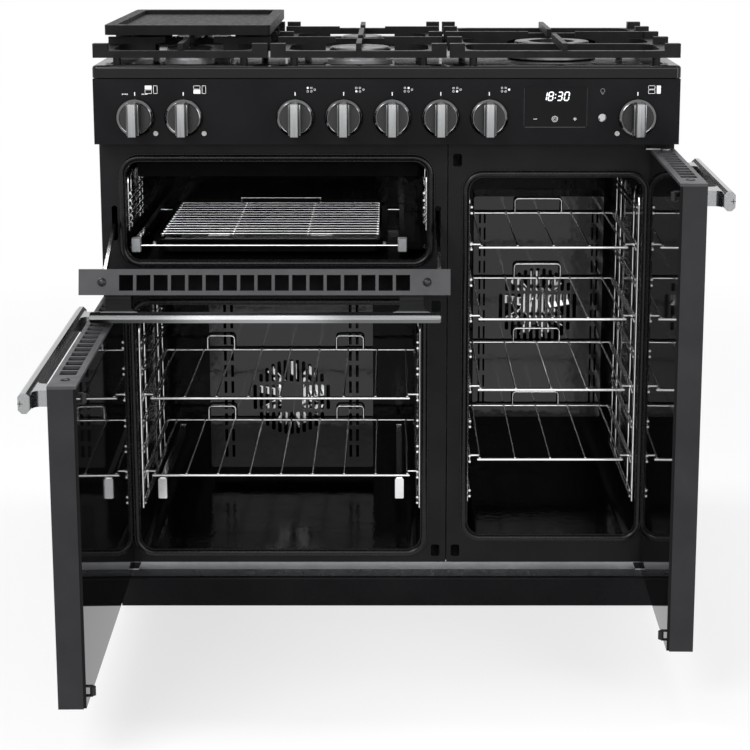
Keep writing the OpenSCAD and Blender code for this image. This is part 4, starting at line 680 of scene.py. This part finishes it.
def area(name, at, aim, size, power):
    """A soft box that looks at a point."""
    data = bpy.data.lights.new(name, "AREA")
    data.shape = "RECTANGLE"
    data.size, data.size_y = size
    data.energy = power
    lamp = bpy.data.objects.new(name, data)
    lamp.location = at
    lamp.rotation_euler = (Vector(aim) - Vector(at)).to_track_quat("-Z", "Y").to_euler()
    bpy.context.collection.objects.link(lamp)


def seen_by_eye(tree):
    """1 for camera, glossy and transmission rays: what shows the white surroundings."""
    path = tree.nodes.new("ShaderNodeLightPath")
    total = path.outputs["Is Camera Ray"]
    for key in ("Is Glossy Ray", "Is Transmission Ray"):
        node = tree.nodes.new("ShaderNodeMath")
        node.operation = "MAXIMUM"
        tree.links.new(total, node.inputs[0])
        tree.links.new(path.outputs[key], node.inputs[1])
        total = node.outputs[0]
    return total


def make_world():
    world = bpy.data.worlds.new("studio")
    bpy.context.scene.world = world
    world.use_nodes = True
    tree = world.node_tree
    tree.nodes.clear()
    light = tree.nodes.new("ShaderNodeBackground")
    light.inputs["Color"].default_value = (0.95, 0.97, 1.0, 1)
    light.inputs["Strength"].default_value = 0.45
    white = tree.nodes.new("ShaderNodeBackground")
    white.inputs["Color"].default_value = (1, 1, 1, 1)
    white.inputs["Strength"].default_value = 1.0
    mix = tree.nodes.new("ShaderNodeMixShader")
    out = tree.nodes.new("ShaderNodeOutputWorld")
    tree.links.new(seen_by_eye(tree), mix.inputs[0])
    tree.links.new(light.outputs[0], mix.inputs[1])
    tree.links.new(white.outputs[0], mix.inputs[2])
    tree.links.new(mix.outputs[0], out.inputs[0])


def make_floor():
    """A pale floor that keeps the cooker's shadow."""
    bm = bmesh.new()
    bmesh.ops.create_grid(bm, x_segments=4, y_segments=4, size=30)
    data = bpy.data.meshes.new("floor")
    bm.to_mesh(data)
    bm.free()
    floor = bpy.data.objects.new("floor", data)
    floor.location.z = -0.0005
    bpy.context.collection.objects.link(floor)
    mat, tree, shader = new_material("pale_floor")
    tree.links.new(tint(tree, noise(tree, 0.8), (0.86, 0.86, 0.86), (0.9, 0.9, 0.9)),
                   shader.inputs["Base Color"])
    shader.inputs["Roughness"].default_value = 0.6
    shader.inputs["Specular IOR Level"].default_value = 0.1
    lift = tree.nodes.new("ShaderNodeEmission")
    lift.inputs["Strength"].default_value = 1.0
    mix = tree.nodes.new("ShaderNodeMixShader")
    # The paper turns to pure white away from the cooker and its shadow
    coord = tree.nodes.new("ShaderNodeTexCoord")
    reach = tree.nodes.new("ShaderNodeVectorMath")
    reach.operation = "LENGTH"
    tree.links.new(coord.outputs["Object"], reach.inputs[0])
    fade = spread(tree, reach.outputs["Value"], 0.66, 1.0, PAPER_NEAR, PAPER_FAR)
    part = tree.nodes.new("ShaderNodeMath")
    part.operation = "MULTIPLY"
    tree.links.new(seen_by_eye(tree), part.inputs[0])
    tree.links.new(fade, part.inputs[1])
    tree.links.new(part.outputs[0], mix.inputs[0])
    tree.links.new(shader.outputs[0], mix.inputs[1])
    tree.links.new(lift.outputs[0], mix.inputs[2])
    tree.links.new(mix.outputs[0], tree.nodes["Material Output"].inputs[0])
    data.materials.append(mat)


look_camera()
make_world()
make_floor()
for lamp in LAMPS:
    area(*lamp)
bpy.context.scene.view_settings.view_transform = "Standard"
